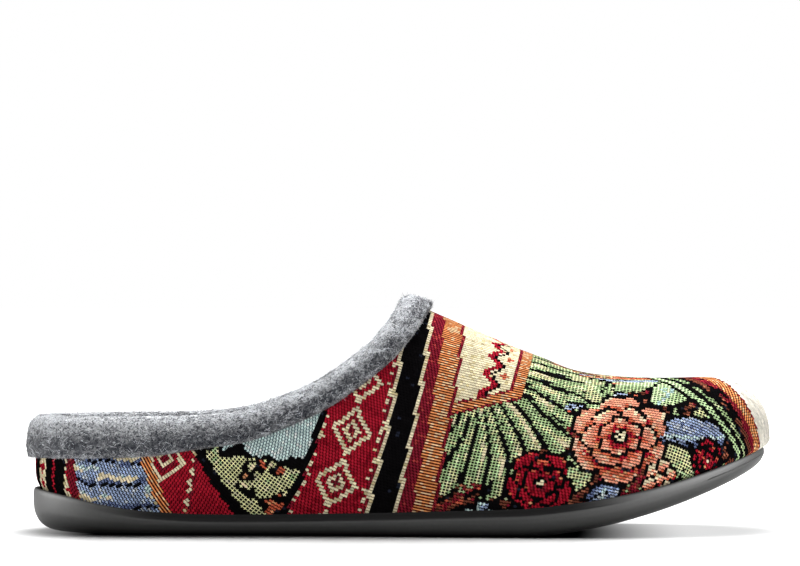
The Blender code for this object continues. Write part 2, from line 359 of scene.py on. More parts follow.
    def find_edge(self, turn: Array) -> Array:
        """Works out the plan points where the columns meet the collar edge."""
        side = np.where(turn <= 1.0, Side.OUTER.value, Side.INNER.value)
        low, high = self.heel_x + self.upper_inset, self.toe_x - self.upper_inset
        fan_turn = math.acos((low + high - 2 * self.fan_start_x) / (high - low)) / math.pi
        share = np.clip((np.minimum(turn, 2.0 - turn) - fan_turn) / (1 - fan_turn), 0.0, 1.0)
        foot = self.outline(turn, self.upper_inset)
        rear = self.climb_to_edge(foot, foot - self.outward(turn, self.upper_inset) * self.rear_reach)
        x = self.edge_tip_x - (self.edge_tip_x - self.fan_start_x) * (1 - share) ** 2
        middle = np.stack([x, self.spine(x)], axis=-1)
        wall = np.stack([x, self.spine(x) + side * (self.half_width(x, side) - self.upper_inset)], axis=-1)
        front = np.where(share[:, None] < 1.0, self.climb_to_edge(wall, middle), middle)
        return np.where(share[:, None] > 0.0, front, rear)

    def points(self, turn: Array, climb: Array) -> Array:
        """Points on the outside of the upper.

        Args:
            turn: Places round the foot.
            climb: How far each column is climbed.

        Returns:
            One point per pair, in millimetres.
        """
        foot = self.outline(turn, self.upper_inset)
        plan = foot + (self.edge_points(turn) - foot) * climb[:, None] ** self.ring_power
        z = np.where(climb > 0.0, self.height(plan), self.floor(plan[:, 0]) + self.gap)
        over = np.maximum(0.0, z - self.rim(plan[:, 0]))
        swell = over**2 / (over**2 + self.flare_rise**2)
        near = np.exp(-((np.linalg.norm(plan - foot, axis=-1) / self.flare_fade) ** 2))
        flare = self.sections.at("flare", foot[:, 0]) * swell * near
        return np.column_stack([plan + self.outward(turn, self.upper_inset) * flare[:, None], z])

    def rise(self, turn: Array, climb: Array) -> Array:
        """Unit directions in which the columns climb."""
        low = np.maximum(0.0, climb - self.climb_probe)
        high = np.minimum(1.0, climb + self.climb_probe)
        return unit(self.points(turn, high) - self.points(turn, low))

    def normals(self, turn: Array, climb: Array) -> Array:
        """Unit normals of the outside of the upper."""
        along = self.points(turn + self.turn_probe, climb) - self.points(turn - self.turn_probe, climb)
        return unit(np.cross(along, self.rise(turn, climb)))

    def rim_climb(self, turn: Array, below: float) -> Array:
        """Climb of each column at a height below the sole's rim."""
        low, high = np.zeros(len(turn)), np.ones(len(turn))
        for _ in range(self.bisections):
            middle = (low + high) / 2
            points = self.points(turn, middle)
            under = points[:, 2] < self.rim(points[:, 0]) - below
            low, high = np.where(under, middle, low), np.where(under, high, middle)
        return low

    def column_lengths(self, turn: Array) -> tuple[Array, Array]:
        """Climbs from the edge down and the cloth length of each column down to them."""
        climbs = np.linspace(1.0, 0.0, self.edge_steps + 1)
        points = np.array([self.points(turn, np.full(len(turn), climb)) for climb in climbs])
        lengths = np.cumsum(np.linalg.norm(np.diff(points, axis=0), axis=-1), axis=0)
        return climbs, np.vstack([np.zeros(len(turn)), lengths])

    def edge_climb(self, turn: Array, drop: Array) -> Array:
        """Climb of each column at the length drop below its edge, measured along the cloth."""
        climbs, lengths = self.column_lengths(turn)
        return np.array([np.interp(d, lengths[:, i], climbs) for i, d in enumerate(drop)])


def srgb(red: float, green: float, blue: float) -> Colour:
    """Linear colour of an eight-bit screen colour, by the standard sRGB curve."""
    parts = [channel / 255 for channel in (red, green, blue)]
    return tuple(c / 12.92 if c <= 0.04045 else ((c + 0.055) / 1.055) ** 2.4 for c in parts)


class Value:
    """A value socket whose arithmetic adds Math nodes."""

    def __init__(self, graph: "Graph", socket: Socket) -> None:
        """Wraps a socket of the graph."""
        self.graph = graph
        self.socket = socket

    def math(self, operation: str, *operands: Any, clamp: bool = False) -> "Value":
        """Adds a Math node.

        Args:
            operation: Math node's operation.
            operands: Values, sockets or numbers, in the node's order.
            clamp: Whether the result is held between 0 and 1.

        Returns:
            The node's result.
        """
        settings = {"operation": operation, "use_clamp": clamp}
        node = self.graph.node("ShaderNodeMath", settings, dict(enumerate(operands)))
        return Value(self.graph, node.outputs[0])

    def __add__(self, other: Any) -> "Value":
        """Sum."""
        return self.math("ADD", self, other)

    def __sub__(self, other: Any) -> "Value":
        """Difference."""
        return self.math("SUBTRACT", self, other)

    def __mul__(self, other: Any) -> "Value":
        """Product."""
        return self.math("MULTIPLY", self, other)

    def __radd__(self, other: Any) -> "Value":
        """Reflected sum."""
        return self.math("ADD", other, self)

    def __rsub__(self, other: Any) -> "Value":
        """Reflected difference."""
        return self.math("SUBTRACT", other, self)

    def __rmul__(self, other: Any) -> "Value":
        """Reflected product."""
        return self.math("MULTIPLY", other, self)

    def __abs__(self) -> "Value":
        """Size without sign."""
        return self.math("ABSOLUTE", self)

    def fract(self) -> "Value":
        """Part after the whole number."""
        return self.math("FRACT", self)

    def clamp(self) -> "Value":
        """Held between 0 and 1."""
        return self.math("ADD", self, 0.0, clamp=True)


class Graph:
    """The node tree of one material or of the surround."""

    # Places of a Mix node's colour sockets among its inputs and outputs.
    MIX_COLOURS = (6, 7)
    MIX_RESULT = 2

    def __init__(self, owner: Material | bpy.types.World) -> None:
        """Starts an empty tree."""
        self.owner = owner
        self.owner.use_nodes = True
        self.tree = self.owner.node_tree
        self.tree.nodes.clear()

    @classmethod
    def of_material(cls, name: str) -> "Graph":
        """Starts a new material."""
        return cls(bpy.data.materials.new(name))

    def node(self, kind: str, settings: dict[str, Any], inputs: dict[Any, Any]) -> bpy.types.Node:
        """Adds a node.

        Args:
            kind: Node type.
            settings: Properties of the node, set first.
            inputs: Values, sockets, numbers or tuples by socket name or index.

        Returns:
            The node.
        """
        node = self.tree.nodes.new(kind)
        for name, value in settings.items():
            setattr(node, name, value)
        for key, value in inputs.items():
            value = value.socket if isinstance(value, Value) else value
            if isinstance(value, Socket):
                self.tree.links.new(value, node.inputs[key])
            else:
                node.inputs[key].default_value = value
        return node

    def mix(self, factor: Any, first: Any, second: Any) -> Socket:
        """Mixes two colours.

        Args:
            factor: Share of the second.
            first: Colour or socket.
            second: Colour or socket.

        Returns:
            The mixed colour.
        """
        colours = [c if isinstance(c, Socket) else (*c, 1.0) for c in (first, second)]
        inputs = {0: factor, **dict(zip(self.MIX_COLOURS, colours))}
        return self.node("ShaderNodeMix", {"data_type": "RGBA"}, inputs).outputs[self.MIX_RESULT]

    def attribute(self, name: str, output: str) -> Socket:
        """Output of a node that reads a mesh attribute."""
        return self.node("ShaderNodeAttribute", {"attribute_name": name}, {}).outputs[output]

    def place(self, output: str = "Object") -> Socket:
        """Texture coordinates."""
        return self.node("ShaderNodeTexCoord", {}, {}).outputs[output]

    def split(self, vector: Socket) -> list[Value]:
        """The three parts of a vector."""
        return [Value(self, part) for part in self.node("ShaderNodeSeparateXYZ", {}, {0: vector}).outputs]

    def noise(self, place: Socket, scale: float, detail: float, roughness: float = 0.5) -> Value:
        """Noise between 0 and 1, with lumps 1/scale wide in metres."""
        inputs = {"Vector": place, "Scale": scale, "Detail": detail, "Roughness": roughness}
        return Value(self, self.node("ShaderNodeTexNoise", {}, inputs).outputs[0])

    def ease(self, value: Value, low: float, high: float) -> Value:
        """Eases from 0 at low to 1 at high."""
        inputs = {"Value": value, "From Min": low, "From Max": high}
        settings = {"interpolation_type": "SMOOTHSTEP"}
        return Value(self, self.node("ShaderNodeMapRange", settings, inputs).outputs[0])

    def vector(self, operation: str, inputs: dict[Any, Any], output: int | str = 0) -> Socket:
        """Result of a Vector Math node."""
        return self.node("ShaderNodeVectorMath", {"operation": operation}, inputs).outputs[output]

    def stretched(self, place: Socket, scale: Triple) -> Socket:
        """Coordinates scaled by axis."""
        return self.node("ShaderNodeMapping", {}, {"Vector": place, "Scale": scale}).outputs[0]

    def surface(self, sockets: dict[str, Any], height: Value, relief: float, strength: float) -> Material:
        """Closes the tree with a Principled shader over a bump.

        Args:
            sockets: Values of the shader's sockets.
            height: Bump height between 0 and 1.
            relief: Depth of the bump in metres.
            strength: Share of the bump that shows.

        Returns:
            The material.
        """
        bump = self.node("ShaderNodeBump", {}, {"Strength": strength, "Distance": relief, "Height": height})
        shader = self.node("ShaderNodeBsdfPrincipled", {}, {**sockets, "Normal": bump.outputs[0]})
        self.node("ShaderNodeOutputMaterial", {}, {"Surface": shader.outputs[0]})
        return self.owner


@dataclass(frozen=True)
class WeaveFinish:
    """Woven cloth: a raised yarn grid over a sunk ground, both coloured cell by cell."""

    edge_sharpness: float = 10.0
    fuzz_scale: float = 2600.0
    fuzz_detail: float = 2.0
    wear: Pair = (0.3, 0.75)
    wear_share: float = 0.22
    yarn_round: float = 0.5
    yarn_height: float = 0.8
    fuzz_height: float = 0.2
    relief: float = 0.00028
    strength: float = 0.75
    roughness: float = 0.82
    yarn_polish: float = 0.1

    @staticmethod
    def from_side(cell: Value) -> Value:
        """Distance from the nearest side of a stitch, in stitches."""
        return 0.5 - abs(cell.fract() - 0.5)

    def hidden(self, half: Value, distance: Value) -> Value:
        """1 within the sunk window's half size and 0 on the yarn, with a soft step between."""
        return ((half - distance) * self.edge_sharpness + 0.5).clamp()

    def build(self) -> Material:
        """Material of the tapestry."""
        graph = Graph.of_material("tapestry weave")
        thread = graph.node("ShaderNodeUVMap", {"uv_map": "thread"}, {}).outputs[0]
        column, row, _ = graph.split(thread)
        half_across, half_along, stagger = graph.split(graph.attribute("window", "Vector"))
        across = self.from_side(column + row.math("FLOOR", row) * stagger)
        along = self.from_side(row)
        sunk = self.hidden(half_across, across) * self.hidden(half_along, along)
        fuzz = graph.noise(graph.place(), self.fuzz_scale, self.fuzz_detail)
        # The ground colour in the sunk windows is partly ground yarn and partly painted shade between the
        # yarns.
        colour = graph.mix(sunk, *(graph.attribute(name, "Color") for name in ("yarn", "ground")))
        worn = graph.mix(graph.ease(fuzz, *self.wear) * self.wear_share, colour, UNLIT)
        dome = self.yarn_round + (across + along) * self.yarn_round
        height = (1.0 - sunk) * dome * self.yarn_height + fuzz * self.fuzz_height
        sockets = {
            "Base Color": worn,
            "Roughness": self.roughness - (1.0 - sunk) * self.yarn_polish,
            "Specular IOR Level": 0.0,
        }
        return graph.surface(sockets, height, self.relief, self.strength)


@dataclass(frozen=True)
class FeltFinish:
    """Matted wool: dark and pale hairs mixed at random, with a napped face and painted light that pales its
    lit parts.

    A step is where an edge starts and ends, and wool is the detail and roughness of a noise. Shades are the
    least one, what clumps add and what painted light adds. Heights are of hairs, crossing hairs, clumps
    and gaps.
    """

    name: str
    # Whether the felt reads the collar's painted light; other felt takes an even share of it.
    uses_painted_light: bool = False
    dark: Colour = srgb(24, 29, 40)
    pale: Colour = srgb(232, 234, 236)
    deep: Colour = srgb(14, 18, 30)
    swirl: float = 0.005
    swirl_detail: float = 2.0
    clump_scale: float = 340.0
    clump_detail: float = 3.0
    clump_stretch: Triple = (0.6, 0.9, 1.2)
    clump_step: Pair = (0.4, 0.6)
    hair_scale: float = 900.0
    hair_stretch: Triple = (0.7, 1.9, 2.4)
    cross_scale: float = 1080.0
    cross_stretch: Triple = (2.2, 1.2, 0.9)
    wool: Pair = (4.0, 0.62)
    strand_step: Pair = (0.41, 0.6)
    strand_shares: Pair = (0.55, 0.45)
    shades: Triple = (0.1, 0.22, 0.68)
    even_painted_light: float = 0.5
    gap_wool: Pair = (3.0, 0.6)
    gap_step: Pair = (0.51, 0.62)
    gap_share: float = 0.95
    gap_in_clumps: float = 0.25
    gap_in_painted_light: float = 0.4
    heights: tuple[float, ...] = (0.4, 0.3, 0.2, 0.15)
    roughness: Pair = (0.88, 0.1)
    gloss: float = 0.12
    sheen: Pair = (0.15, 0.6)
    relief: float = 0.0007
    strength: float = 0.9

    def build(self) -> Material:
        """Material of the felt."""
        graph = Graph.of_material(self.name)
        place = graph.place()
        inputs = {"Vector": place, "Scale": self.clump_scale, "Detail": self.swirl_detail}
        drift = graph.node("ShaderNodeTexNoise", {}, inputs).outputs["Color"]
        drift = graph.vector("SCALE", {0: drift, "Scale": self.swirl})
        bent = graph.vector("ADD", {0: place, 1: drift})
        clump = graph.noise(graph.stretched(place, self.clump_stretch), self.clump_scale, self.clump_detail)
        clump = graph.ease(clump, *self.clump_step)
        hair = graph.noise(graph.stretched(bent, self.hair_stretch), self.hair_scale, *self.wool)
        cross = graph.noise(graph.stretched(bent, self.cross_stretch), self.cross_scale, *self.wool)
        hair_share, cross_share = self.strand_shares
        strands = graph.ease(hair, *self.strand_step) * hair_share
        strands = strands + graph.ease(cross, *self.strand_step) * cross_share
        # Painted light: the collar's mark pales its lit top, lower edge and throat, with fewer dark gaps
        # there.
        painted_light = Value(graph, graph.attribute("painted_light", "Fac")) if self.uses_painted_light else self.even_painted_light
        base, clump_shade, painted_light_shade = self.shades
        shade = strands * (base + clump * clump_shade + painted_light * painted_light_shade)
        gaps = graph.ease(graph.noise(bent, self.hair_scale, *self.gap_wool), *self.gap_step)
        gaps = gaps * (1.0 - clump * self.gap_in_clumps)
        colour = graph.mix(shade, self.dark, self.pale)
        colour = graph.mix(gaps * (1.0 - painted_light * self.gap_in_painted_light) * self.gap_share, colour, self.deep)
        hair_height, cross_height, clump_height, gap_depth = self.heights
        height = hair * hair_height + cross * cross_height + clump * clump_height - gaps * gap_depth
        sockets = {
            "Base Color": colour,
            "Roughness": self.roughness[0] + shade * self.roughness[1],
            "Specular IOR Level": self.gloss,
            "Sheen Weight": self.sheen[0],
            "Sheen Roughness": self.sheen[1],
        }
        return graph.surface(sockets, height, self.relief, self.strength)


@dataclass(frozen=True)
class HairFinish:
    """Loose wool hairs, each in its own grey."""

    shadow: Colour = (0.02, 0.02, 0.024)
    streak_scale: float = 3000.0
    streak_detail: float = 1.0
    streak_share: float = 0.3
    roughness: Pair = (0.75, 0.15)
    gloss: float = 0.2
    relief: float = 0.00002
    strength: float = 0.3

    def build(self) -> Material:
        """Material of the hairs."""
        graph = Graph.of_material("wool hairs")
        shade = graph.attribute("shade", "Color")
        streak = graph.noise(graph.place(), self.streak_scale, self.streak_detail)
        sockets = {
            "Base Color": graph.mix(streak * self.streak_share, shade, self.shadow),
            "Roughness": self.roughness[0] + streak * self.roughness[1],
            "Specular IOR Level": self.gloss,
        }
        return graph.surface(sockets, streak, self.relief, self.strength)


@dataclass(frozen=True)
class RubberFinish:
    """Moulded rubber: dark, faintly grained, paler where it is rubbed; the lip is dull and has painted shade.

    Cloud, grain and pore are the scale, detail and roughness of a noise. Roughness is the least one, what the
    grain adds and what the cloud adds.
    """

    base: Colour = srgb(37, 37, 36)
    rubbed: Colour = srgb(50, 50, 48)
    dusty: Colour = srgb(40, 40, 39)
    # Painted shade of the lip recess under the upper's bulge.
    lip_painted_shade: Colour = srgb(12, 11, 11)
    cloud: Pair = (22.0, 3.0)
    grain: Triple = (2400.0, 3.0, 0.6)
    pore: Pair = (700.0, 2.0)
    coarse_share: float = 0.7
    fine_share: float = 0.3
    wear: Pair = (0.35, 0.75)
    wear_share: float = 0.6
    dust: Pair = (0.55, 0.8)
    dust_share: float = 0.25
    roughness: Triple = (0.7, 0.14, 0.06)
    gloss: float = 0.08
    coat: float = 0.75
    coat_roughness: float = 0.55
    coat_ior: float = 1.42
    relief: float = 0.00012
    strength: float = 0.35

    def build(self) -> Material:
        """Material of the sole."""
        graph = Graph.of_material("moulded rubber")
        place = graph.place()
        cloud, grain, pore = (graph.noise(place, *sizes) for sizes in (self.cloud, self.grain, self.pore))
        wear = graph.ease(cloud * self.coarse_share + pore * self.fine_share, *self.wear)
        colour = graph.mix(wear * self.wear_share, self.base, self.rubbed)
        colour = graph.mix(graph.ease(grain, *self.dust) * self.dust_share, colour, self.dusty)
        # The lip mark holds painted shade, as if the upper's bulge shadowed it, and takes the coat off there.
        lip = Value(graph, graph.attribute("lip", "Fac"))
        smooth, grain_roughness, cloud_roughness = self.roughness
        sockets = {
            "Base Color": graph.mix(lip, colour, self.lip_painted_shade),
            "Roughness": smooth + grain * grain_roughness + cloud * cloud_roughness,
            "Specular IOR Level": self.gloss,
            "Coat Weight": (1.0 - lip) * self.coat,
            "Coat Roughness": self.coat_roughness,
            "Coat IOR": self.coat_ior,
        }
        height = grain * self.coarse_share + pore * self.fine_share
        return graph.surface(sockets, height, self.relief, self.strength)


@dataclass(frozen=True)
class FloorFinish:
    """Matt white studio paper with a painted glow, left out in a pool round the middle of the slipper.

    The painted glow lifts the shadows round heel and toe and makes the far floor evenly white. Painted
    contact shadow darkens the paper where the slipper stands close over it.
    """

    pool: Triple = (0.022, 0.0, 0.0)
    squash: Triple = (1.0, 0.5, 1.0)
    pool_edge: Pair = (0.087, 0.13)
    far_edge: Pair = (0.16, 0.4)
    # Painted glow round heel and toe, which lifts the shadows there; far_glow is the even white further out.
    painted_glow: float = 0.76
    far_glow: float = 1.1
    contact: float = 0.07
    contact_rays: int = 16
    contact_step: Pair = (0.36, 0.97)
    # Colour of the painted contact shadow under and round the slipper.
    painted_contact_shadow: float = 0.004
    paper: Pair = (0.43, 0.41)
    fibre: Pair = (900.0, 2.0)
    fibre_share: float = 0.02
    roughness: float = 0.9
    relief: float = 0.00001
    strength: float = 0.05

    def build(self) -> Material:
        """Material of the floor."""
        graph = Graph.of_material("studio paper")
        place = graph.place()
        fibre = graph.noise(place, *self.fibre)
        rays = {"samples": self.contact_rays}
        # Painted contact shadow: an occlusion test darkens the paper's colour close round the slipper.
        open_sky = graph.node("ShaderNodeAmbientOcclusion", rays, {"Distance": self.contact}).outputs["AO"]
        clear = graph.ease(Value(graph, open_sky), *self.contact_step)
        colour = graph.mix(fibre * self.fibre_share, *((grey,) * 3 for grey in self.paper))
        moved = graph.stretched(graph.vector("ADD", {0: place, 1: self.pool}), self.squash)
        reach = Value(graph, graph.vector("LENGTH", {0: moved}, "Value"))
        # Painted glow: none in the pool round the slipper's middle, rising round heel and toe to lift their
        # shadows.
        painted_glow = graph.mix(graph.ease(reach, *self.pool_edge), UNLIT, (self.painted_glow,) * 3)
        sockets = {
            "Base Color": graph.mix(clear, (self.painted_contact_shadow,) * 3, colour),
            "Roughness": self.roughness,
            "Specular IOR Level": 0.0,
            "Emission Color": graph.mix(graph.ease(reach, *self.far_edge), painted_glow, (self.far_glow,) * 3),
            "Emission Strength": 1.0,
        }
        return graph.surface(sockets, fibre, self.relief, self.strength)


@dataclass(frozen=True)
class Yarn:
    """One woven colour: its yarn, ground and odd stitches, and the sunk window's half sizes and stagger."""

    main: tuple[int, int, int]
    # Dark colour of the sunk windows: partly the ground yarn and partly painted shade between the yarns.
    ground: tuple[int, int, int]
    fleck: tuple[int, int, int]
    fleck_share: float = 0.06
    window: Triple = (0.3, 0.27, 0.0)
    vary: float = 0.12


class Yarns(Enum):
    """The yarns of the cloth."""

    MAROON = Yarn((184, 32, 50), (38, 3, 8), (144, 20, 36), 0.12, (0.27, 0.37, 0.333))
    WINE = Yarn((138, 32, 48), (16, 4, 7), (176, 60, 60), 0.14, (0.28, 0.36, 0.333))
    CREAM = Yarn((236, 224, 190), (104, 84, 50), (212, 196, 150), 0.14, (0.34, 0.18, 0.5))
    TOE_CREAM = Yarn((226, 221, 209), (180, 171, 150), (214, 207, 191), 0.1, (0.18, 0.12, 0.5))
    BLACK = Yarn((13, 12, 13), (5, 4, 6), (34, 38, 50), 0.03, (0.22, 0.2, 0.333))
    BROWN = Yarn((124, 68, 52), (9, 6, 6), (184, 110, 82), 0.18, (0.38, 0.29, 0.5), 0.16)
    RUST = Yarn((222, 106, 76), (34, 6, 6), (240, 168, 118), 0.14, (0.37, 0.28, 0.5), 0.14)
    SALMON = Yarn((250, 166, 136), (66, 16, 14), (254, 214, 182), 0.16, (0.36, 0.26, 0.5), 0.14)
    TWILL = Yarn((246, 162, 98), (74, 12, 11), (252, 220, 172), 0.3, (0.5, 0.3, 0.0))
    RIB = Yarn((244, 160, 98), (70, 12, 11), (250, 214, 164), 0.2, (0.28, 0.5, 0.333))
    OLIVE = Yarn((242, 244, 184), (6, 8, 6), (254, 250, 206), 0.14, (0.38, 0.36, 0.0), 0.16)
    LEAF = Yarn((180, 208, 150), (5, 7, 6), (232, 240, 186), 0.12, (0.38, 0.36, 0.0), 0.16)
    PALE_LEAF = Yarn((212, 240, 182), (28, 46, 24), (240, 246, 204), 0.14, (0.35, 0.33, 0.0), 0.14)
    TEAL = Yarn((222, 244, 240), (58, 84, 92), (246, 252, 248), 0.14, (0.3, 0.4, 0.333))
    SEA = Yarn((202, 236, 236), (22, 40, 48), (238, 248, 244), 0.12, (0.36, 0.33, 0.5))
    SLATE = Yarn((184, 204, 242), (6, 8, 16), (236, 244, 254), 0.16, (0.38, 0.35, 0.5), 0.14)
    NAVY = Yarn((116, 132, 176), (5, 6, 12), (184, 202, 232), 0.12, (0.37, 0.35, 0.5), 0.14)


class Shades(Enum):
    """Rows of yarns that shade one thing, from dark to light."""

    EARTH = (Yarns.BLACK, Yarns.BROWN, Yarns.WINE, Yarns.BROWN)
    WARM = (Yarns.BLACK, Yarns.WINE, Yarns.MAROON, Yarns.RUST, Yarns.SALMON, Yarns.SALMON, Yarns.CREAM)
    RED = (Yarns.BLACK, Yarns.WINE, Yarns.MAROON, Yarns.MAROON, Yarns.RUST)
    BLUE = (Yarns.BLACK, Yarns.NAVY, Yarns.SLATE, Yarns.SLATE, Yarns.TEAL)
    GREEN = (Yarns.BLACK, Yarns.LEAF, Yarns.OLIVE, Yarns.OLIVE, Yarns.PALE_LEAF)
    PALE = (Yarns.LEAF, Yarns.PALE_LEAF, Yarns.PALE_LEAF, Yarns.SEA)
    GRASS = (Yarns.BLACK, Yarns.BROWN, Yarns.LEAF, Yarns.LEAF, Yarns.PALE_LEAF, Yarns.OLIVE)


class Chart:
    """The woven design, stitch by stitch, on the flat cloth in mm: p to the toe and q to the inner side."""

    BLADE_ANGLE = 13.0
    PETAL_ROWS = (1.0, 0.7, 0.42)
    BERRIES = ((-3.6, 1.4), (0.4, 3.4), (3.8, 0.6), (0.0, -1.6), (-4.2, -3.4), (3.6, -4.2))
    BERRY = 2.4
    OUTLINE = 1.2
    VEINS = 4.2
    WAVE = 8.0
    TOOTH = 3.6
    STRIPES = 15.0
    DIAMONDS = 6.0
    SHADING_POINTS = ((0, 8, 2, 10), (12, 4, 14, 6), (3, 11, 1, 9), (15, 7, 13, 5))
    QUARTER = (-22.0, 76.0)
    QUARTER_TILT = 60.0
    QUARTER_LEAN = 0.35
    BAND_WIDTH = 24.0
    BAND_TILT = 5.7
    TOE_CENTRE = (146.0, 30.0, 21.0, 22.0)
    TOE_RINGS = (
        (18.6, Yarns.BLACK),
        (17.2, Yarns.PALE_LEAF),
        (15.2, Yarns.BLACK),
        (13.4, Yarns.LEAF),
        (11.8, Yarns.BLACK),
        (10.2, Yarns.BROWN),
        (8.0, Yarns.WINE),
    )

    def __init__(self, stitches: Array, pitch: Pair) -> None:
        """Starts a blank chart.

        Args:
            stitches: Column and row number of each stitch.
            pitch: Width and height of a stitch.
        """
        self.stitches = stitches
        self.pitch = pitch
        self.p, self.q = ((stitches + 0.5) * pitch).T
        self.yarns = list(Yarns)
        self.index = np.zeros(len(stitches), int)
        self.outer = self.q < 0.0

    def paint(self, mask: Array, yarn: Yarns) -> None:
        """Weaves the masked stitches in a yarn."""
        self.index[mask] = self.yarns.index(yarn)

    def layers(self, area: Array, *layers: tuple[Array, Yarns]) -> None:
        """Weaves yarns over an area one after another, each where its own mask holds."""
        for mask, yarn in layers:
            self.paint(area & mask, yarn)

    def fill(self, area: Array, base: Yarns, *layers: tuple[Array, Yarns]) -> None:
        """Weaves an area in its base yarn and then its layers."""
        self.paint(area, base)
        self.layers(area, *layers)

    def local(self, at: Pair, tilt: float) -> tuple[Array, Array]:
        """Coordinates from a point, turned by tilt degrees."""
        return turned(self.p - at[0], self.q - at[1], tilt)

    def grain(self, size: float, seed: int) -> Array:
        """Noise over the cloth, between 0 and 1."""
        return lattice_noise(np.column_stack([self.p, self.q]), size, seed)

    def sway(self, size: float, seed: int) -> Array:
        """Noise over the cloth, to both sides of 0."""
        return self.grain(size, seed) - 0.5

    def streaks(self, a: Array, b: Array, length: float, width: float, seed: int) -> Array:
        """Noise drawn out along a."""
        return lattice_noise(np.column_stack([a / length, b / width]), 1.0, seed)

    def fronds(self, panel: Array, a: Array, b: Array, reach: float) -> None:
        """Blades that droop from one crown, lit along one edge.

        Args:
            panel: Mask of the panel.
            a: Distance from the crown along the panel.
            b: Height over the crown.
            reach: Length of the longest blades.
        """
        span = np.hypot(a, b)
        angle = np.degrees(np.arctan2(b, a)) + 0.011 * span**2 + 7.0 * self.sway(14.0, 51)
        blade = np.floor(angle / self.BLADE_ANGLE)
        share = angle / self.BLADE_ANGLE - blade
        length = reach * (0.78 + 0.22 * np.mod(blade * 0.618, 1.0))
        hatch = self.streaks(span, angle, 7.0, 2.2, 52)
        self.fill(
            panel & (span < length),
            Yarns.BLACK,
            (between(share, 0.14, 0.9), Yarns.LEAF),
            (between(share, 0.4, 0.84) & (hatch > 0.35), Yarns.OLIVE),
            (between(share, 0.6, 0.8) & (hatch > 0.62), Yarns.CREAM),
            (between(share, 0.2, 0.42) & (hatch < 0.3), Yarns.BLACK),
            (near(share, 0.5, 0.05) & (hatch > 0.3), Yarns.PALE_LEAF),
        )

    @cached_property
    def dither(self) -> Array:
        """Threshold of each stitch between two yarns, as a weaver's shading points."""
        points = np.array(self.SHADING_POINTS) / np.size(self.SHADING_POINTS)
        column, row = (self.stitches % len(points)).T
        return 0.65 * points[column, row] + 0.35 * self.grain(0.83, 23)

    def shaded(self, mask: Array, value: Array, shades: Shades, spread: float = 1.0) -> None:
        """Weaves the masked stitches from dark to light.

        Args:
            mask: Mask of the stitches.
            value: Shade of each stitch between 0 and 1.
            shades: Yarns to pick from.
            spread: Width of the mixed zone between two yarns, in yarns.
        """
        yarns = shades.value
        level = np.clip(value, 0.0, 1.0) * (len(yarns) - 1) + spread * (self.dither - 0.5)
        pick = np.clip(np.round(level), 0, len(yarns) - 1)
        self.layers(mask, *((pick == step, yarn) for step, yarn in enumerate(yarns)))

    def blossom(self, panel: Array, a: Array, b: Array, reach: float, petals: int, shades: Shades) -> None:
        """Full flower in three rows of petals.

        Args:
            panel: Mask of the panel.
            a: Distance to the right of its heart.
            b: Distance above its heart.
            reach: Radius of the outer row.
            petals: Petals in a row.
            shades: Yarns of the petals.
        """
        span = np.hypot(a, b)
        angle = np.degrees(np.arctan2(b, a)) + 9.0 * self.sway(9.0, 21)
        streak = self.streaks(span, angle, 6.0, 5.0, 22) - 0.5
        for row, share in enumerate(self.PETAL_ROWS):
            turn = np.mod(angle * petals / 360 + 0.5 * row + 0.17 * petals, 1.0)
            fold = np.abs(turn - 0.5) * 2
            edge = reach * share * (0.68 + 0.32 * np.sqrt(1 - fold**2)) + 1.6 * self.sway(4.0, 24 + row)
            value = 0.1 + 0.85 * (span / edge) ** 1.5 - 0.34 * fold**3 + 0.3 * streak + 0.12 * b / reach
            self.paint(panel & (span < edge + self.OUTLINE), Yarns.BLACK)
            self.shaded(panel & (span < edge), value - 0.12 * (row == 0), shades)
        self.paint(panel & (span < reach * 0.17), Yarns.BLACK)
        self.paint(panel & (span < reach * 0.13) & (self.dither > 0.4), Yarns.CREAM)

    def leaf(self, panel: Array, a: Array, b: Array, turn: float, length: float, shades: Shades) -> None:
        """Pointed leaf with side veins, lighter on one half.

        Args:
            panel: Mask of the panel.
            a: Distance to the right of its stalk.
            b: Distance above its stalk.
            turn: Direction in which it points, in degrees.
            length: Its length.
            shades: Yarns of the leaf.
        """
        run, side = turned(a, b, turn)
        along = run / length
        side = side - 0.35 * length * along * (along - 1)
        half = 0.27 * length * np.sin(np.pi * np.clip(along, 0.0, 1.0) ** 0.75) ** 0.85
        inside = panel & between(along, 0.0, 1.0) & (np.abs(side) < half)
        vein = np.mod(along * length - 0.9 * np.abs(side), self.VEINS) < 1.0
        value = 0.52 + 0.26 * np.clip(side / 3.0, -1.0, 1.0) + 0.4 * (self.streaks(a, b, 4.0, 4.0, 27) - 0.5)
        self.paint(panel & between(along, -0.04, 1.06) & (np.abs(side) < half + self.OUTLINE), Yarns.BLACK)
        self.shaded(inside, value - 0.35 * vein, shades)
        self.paint(inside & near(side, 0.0, 0.55), shades.value[-1])

    def berries(self, panel: Array, a: Array, b: Array, shades: Shades) -> None:
        """Bunch of round berries.

        Args:
            panel: Mask of the panel.
            a: Distance to the right of the bunch.
            b: Distance above the bunch.
            shades: Yarns of the berries.
        """
        for x, y in self.BERRIES:
            span = np.hypot(a - x, b - y)
            self.paint(panel & (span < self.BERRY + 0.9), Yarns.BLACK)
            self.shaded(panel & (span < self.BERRY), 0.75 + 0.18 * (b - y) - 0.12 * (a - x), shades, 0.4)

    def ground(self, panel: Array, a: Array, b: Array) -> None:
        """Dark undergrowth, streaked along its slope."""
        slope = self.streaks(a + 0.9 * b, b - 0.6 * a, 9.0, 2.0, 28)
        self.shaded(panel, 1.5 * (slope - 0.32) + 0.3 * self.sway(12.0, 29), Shades.EARTH)
        self.paint(panel & (self.streaks(a - b, b + a, 6.0, 1.3, 30) > 0.83), Yarns.LEAF)
        self.paint(panel & (self.streaks(a + b, b - a, 5.0, 1.2, 31) > 0.86), Yarns.RUST)

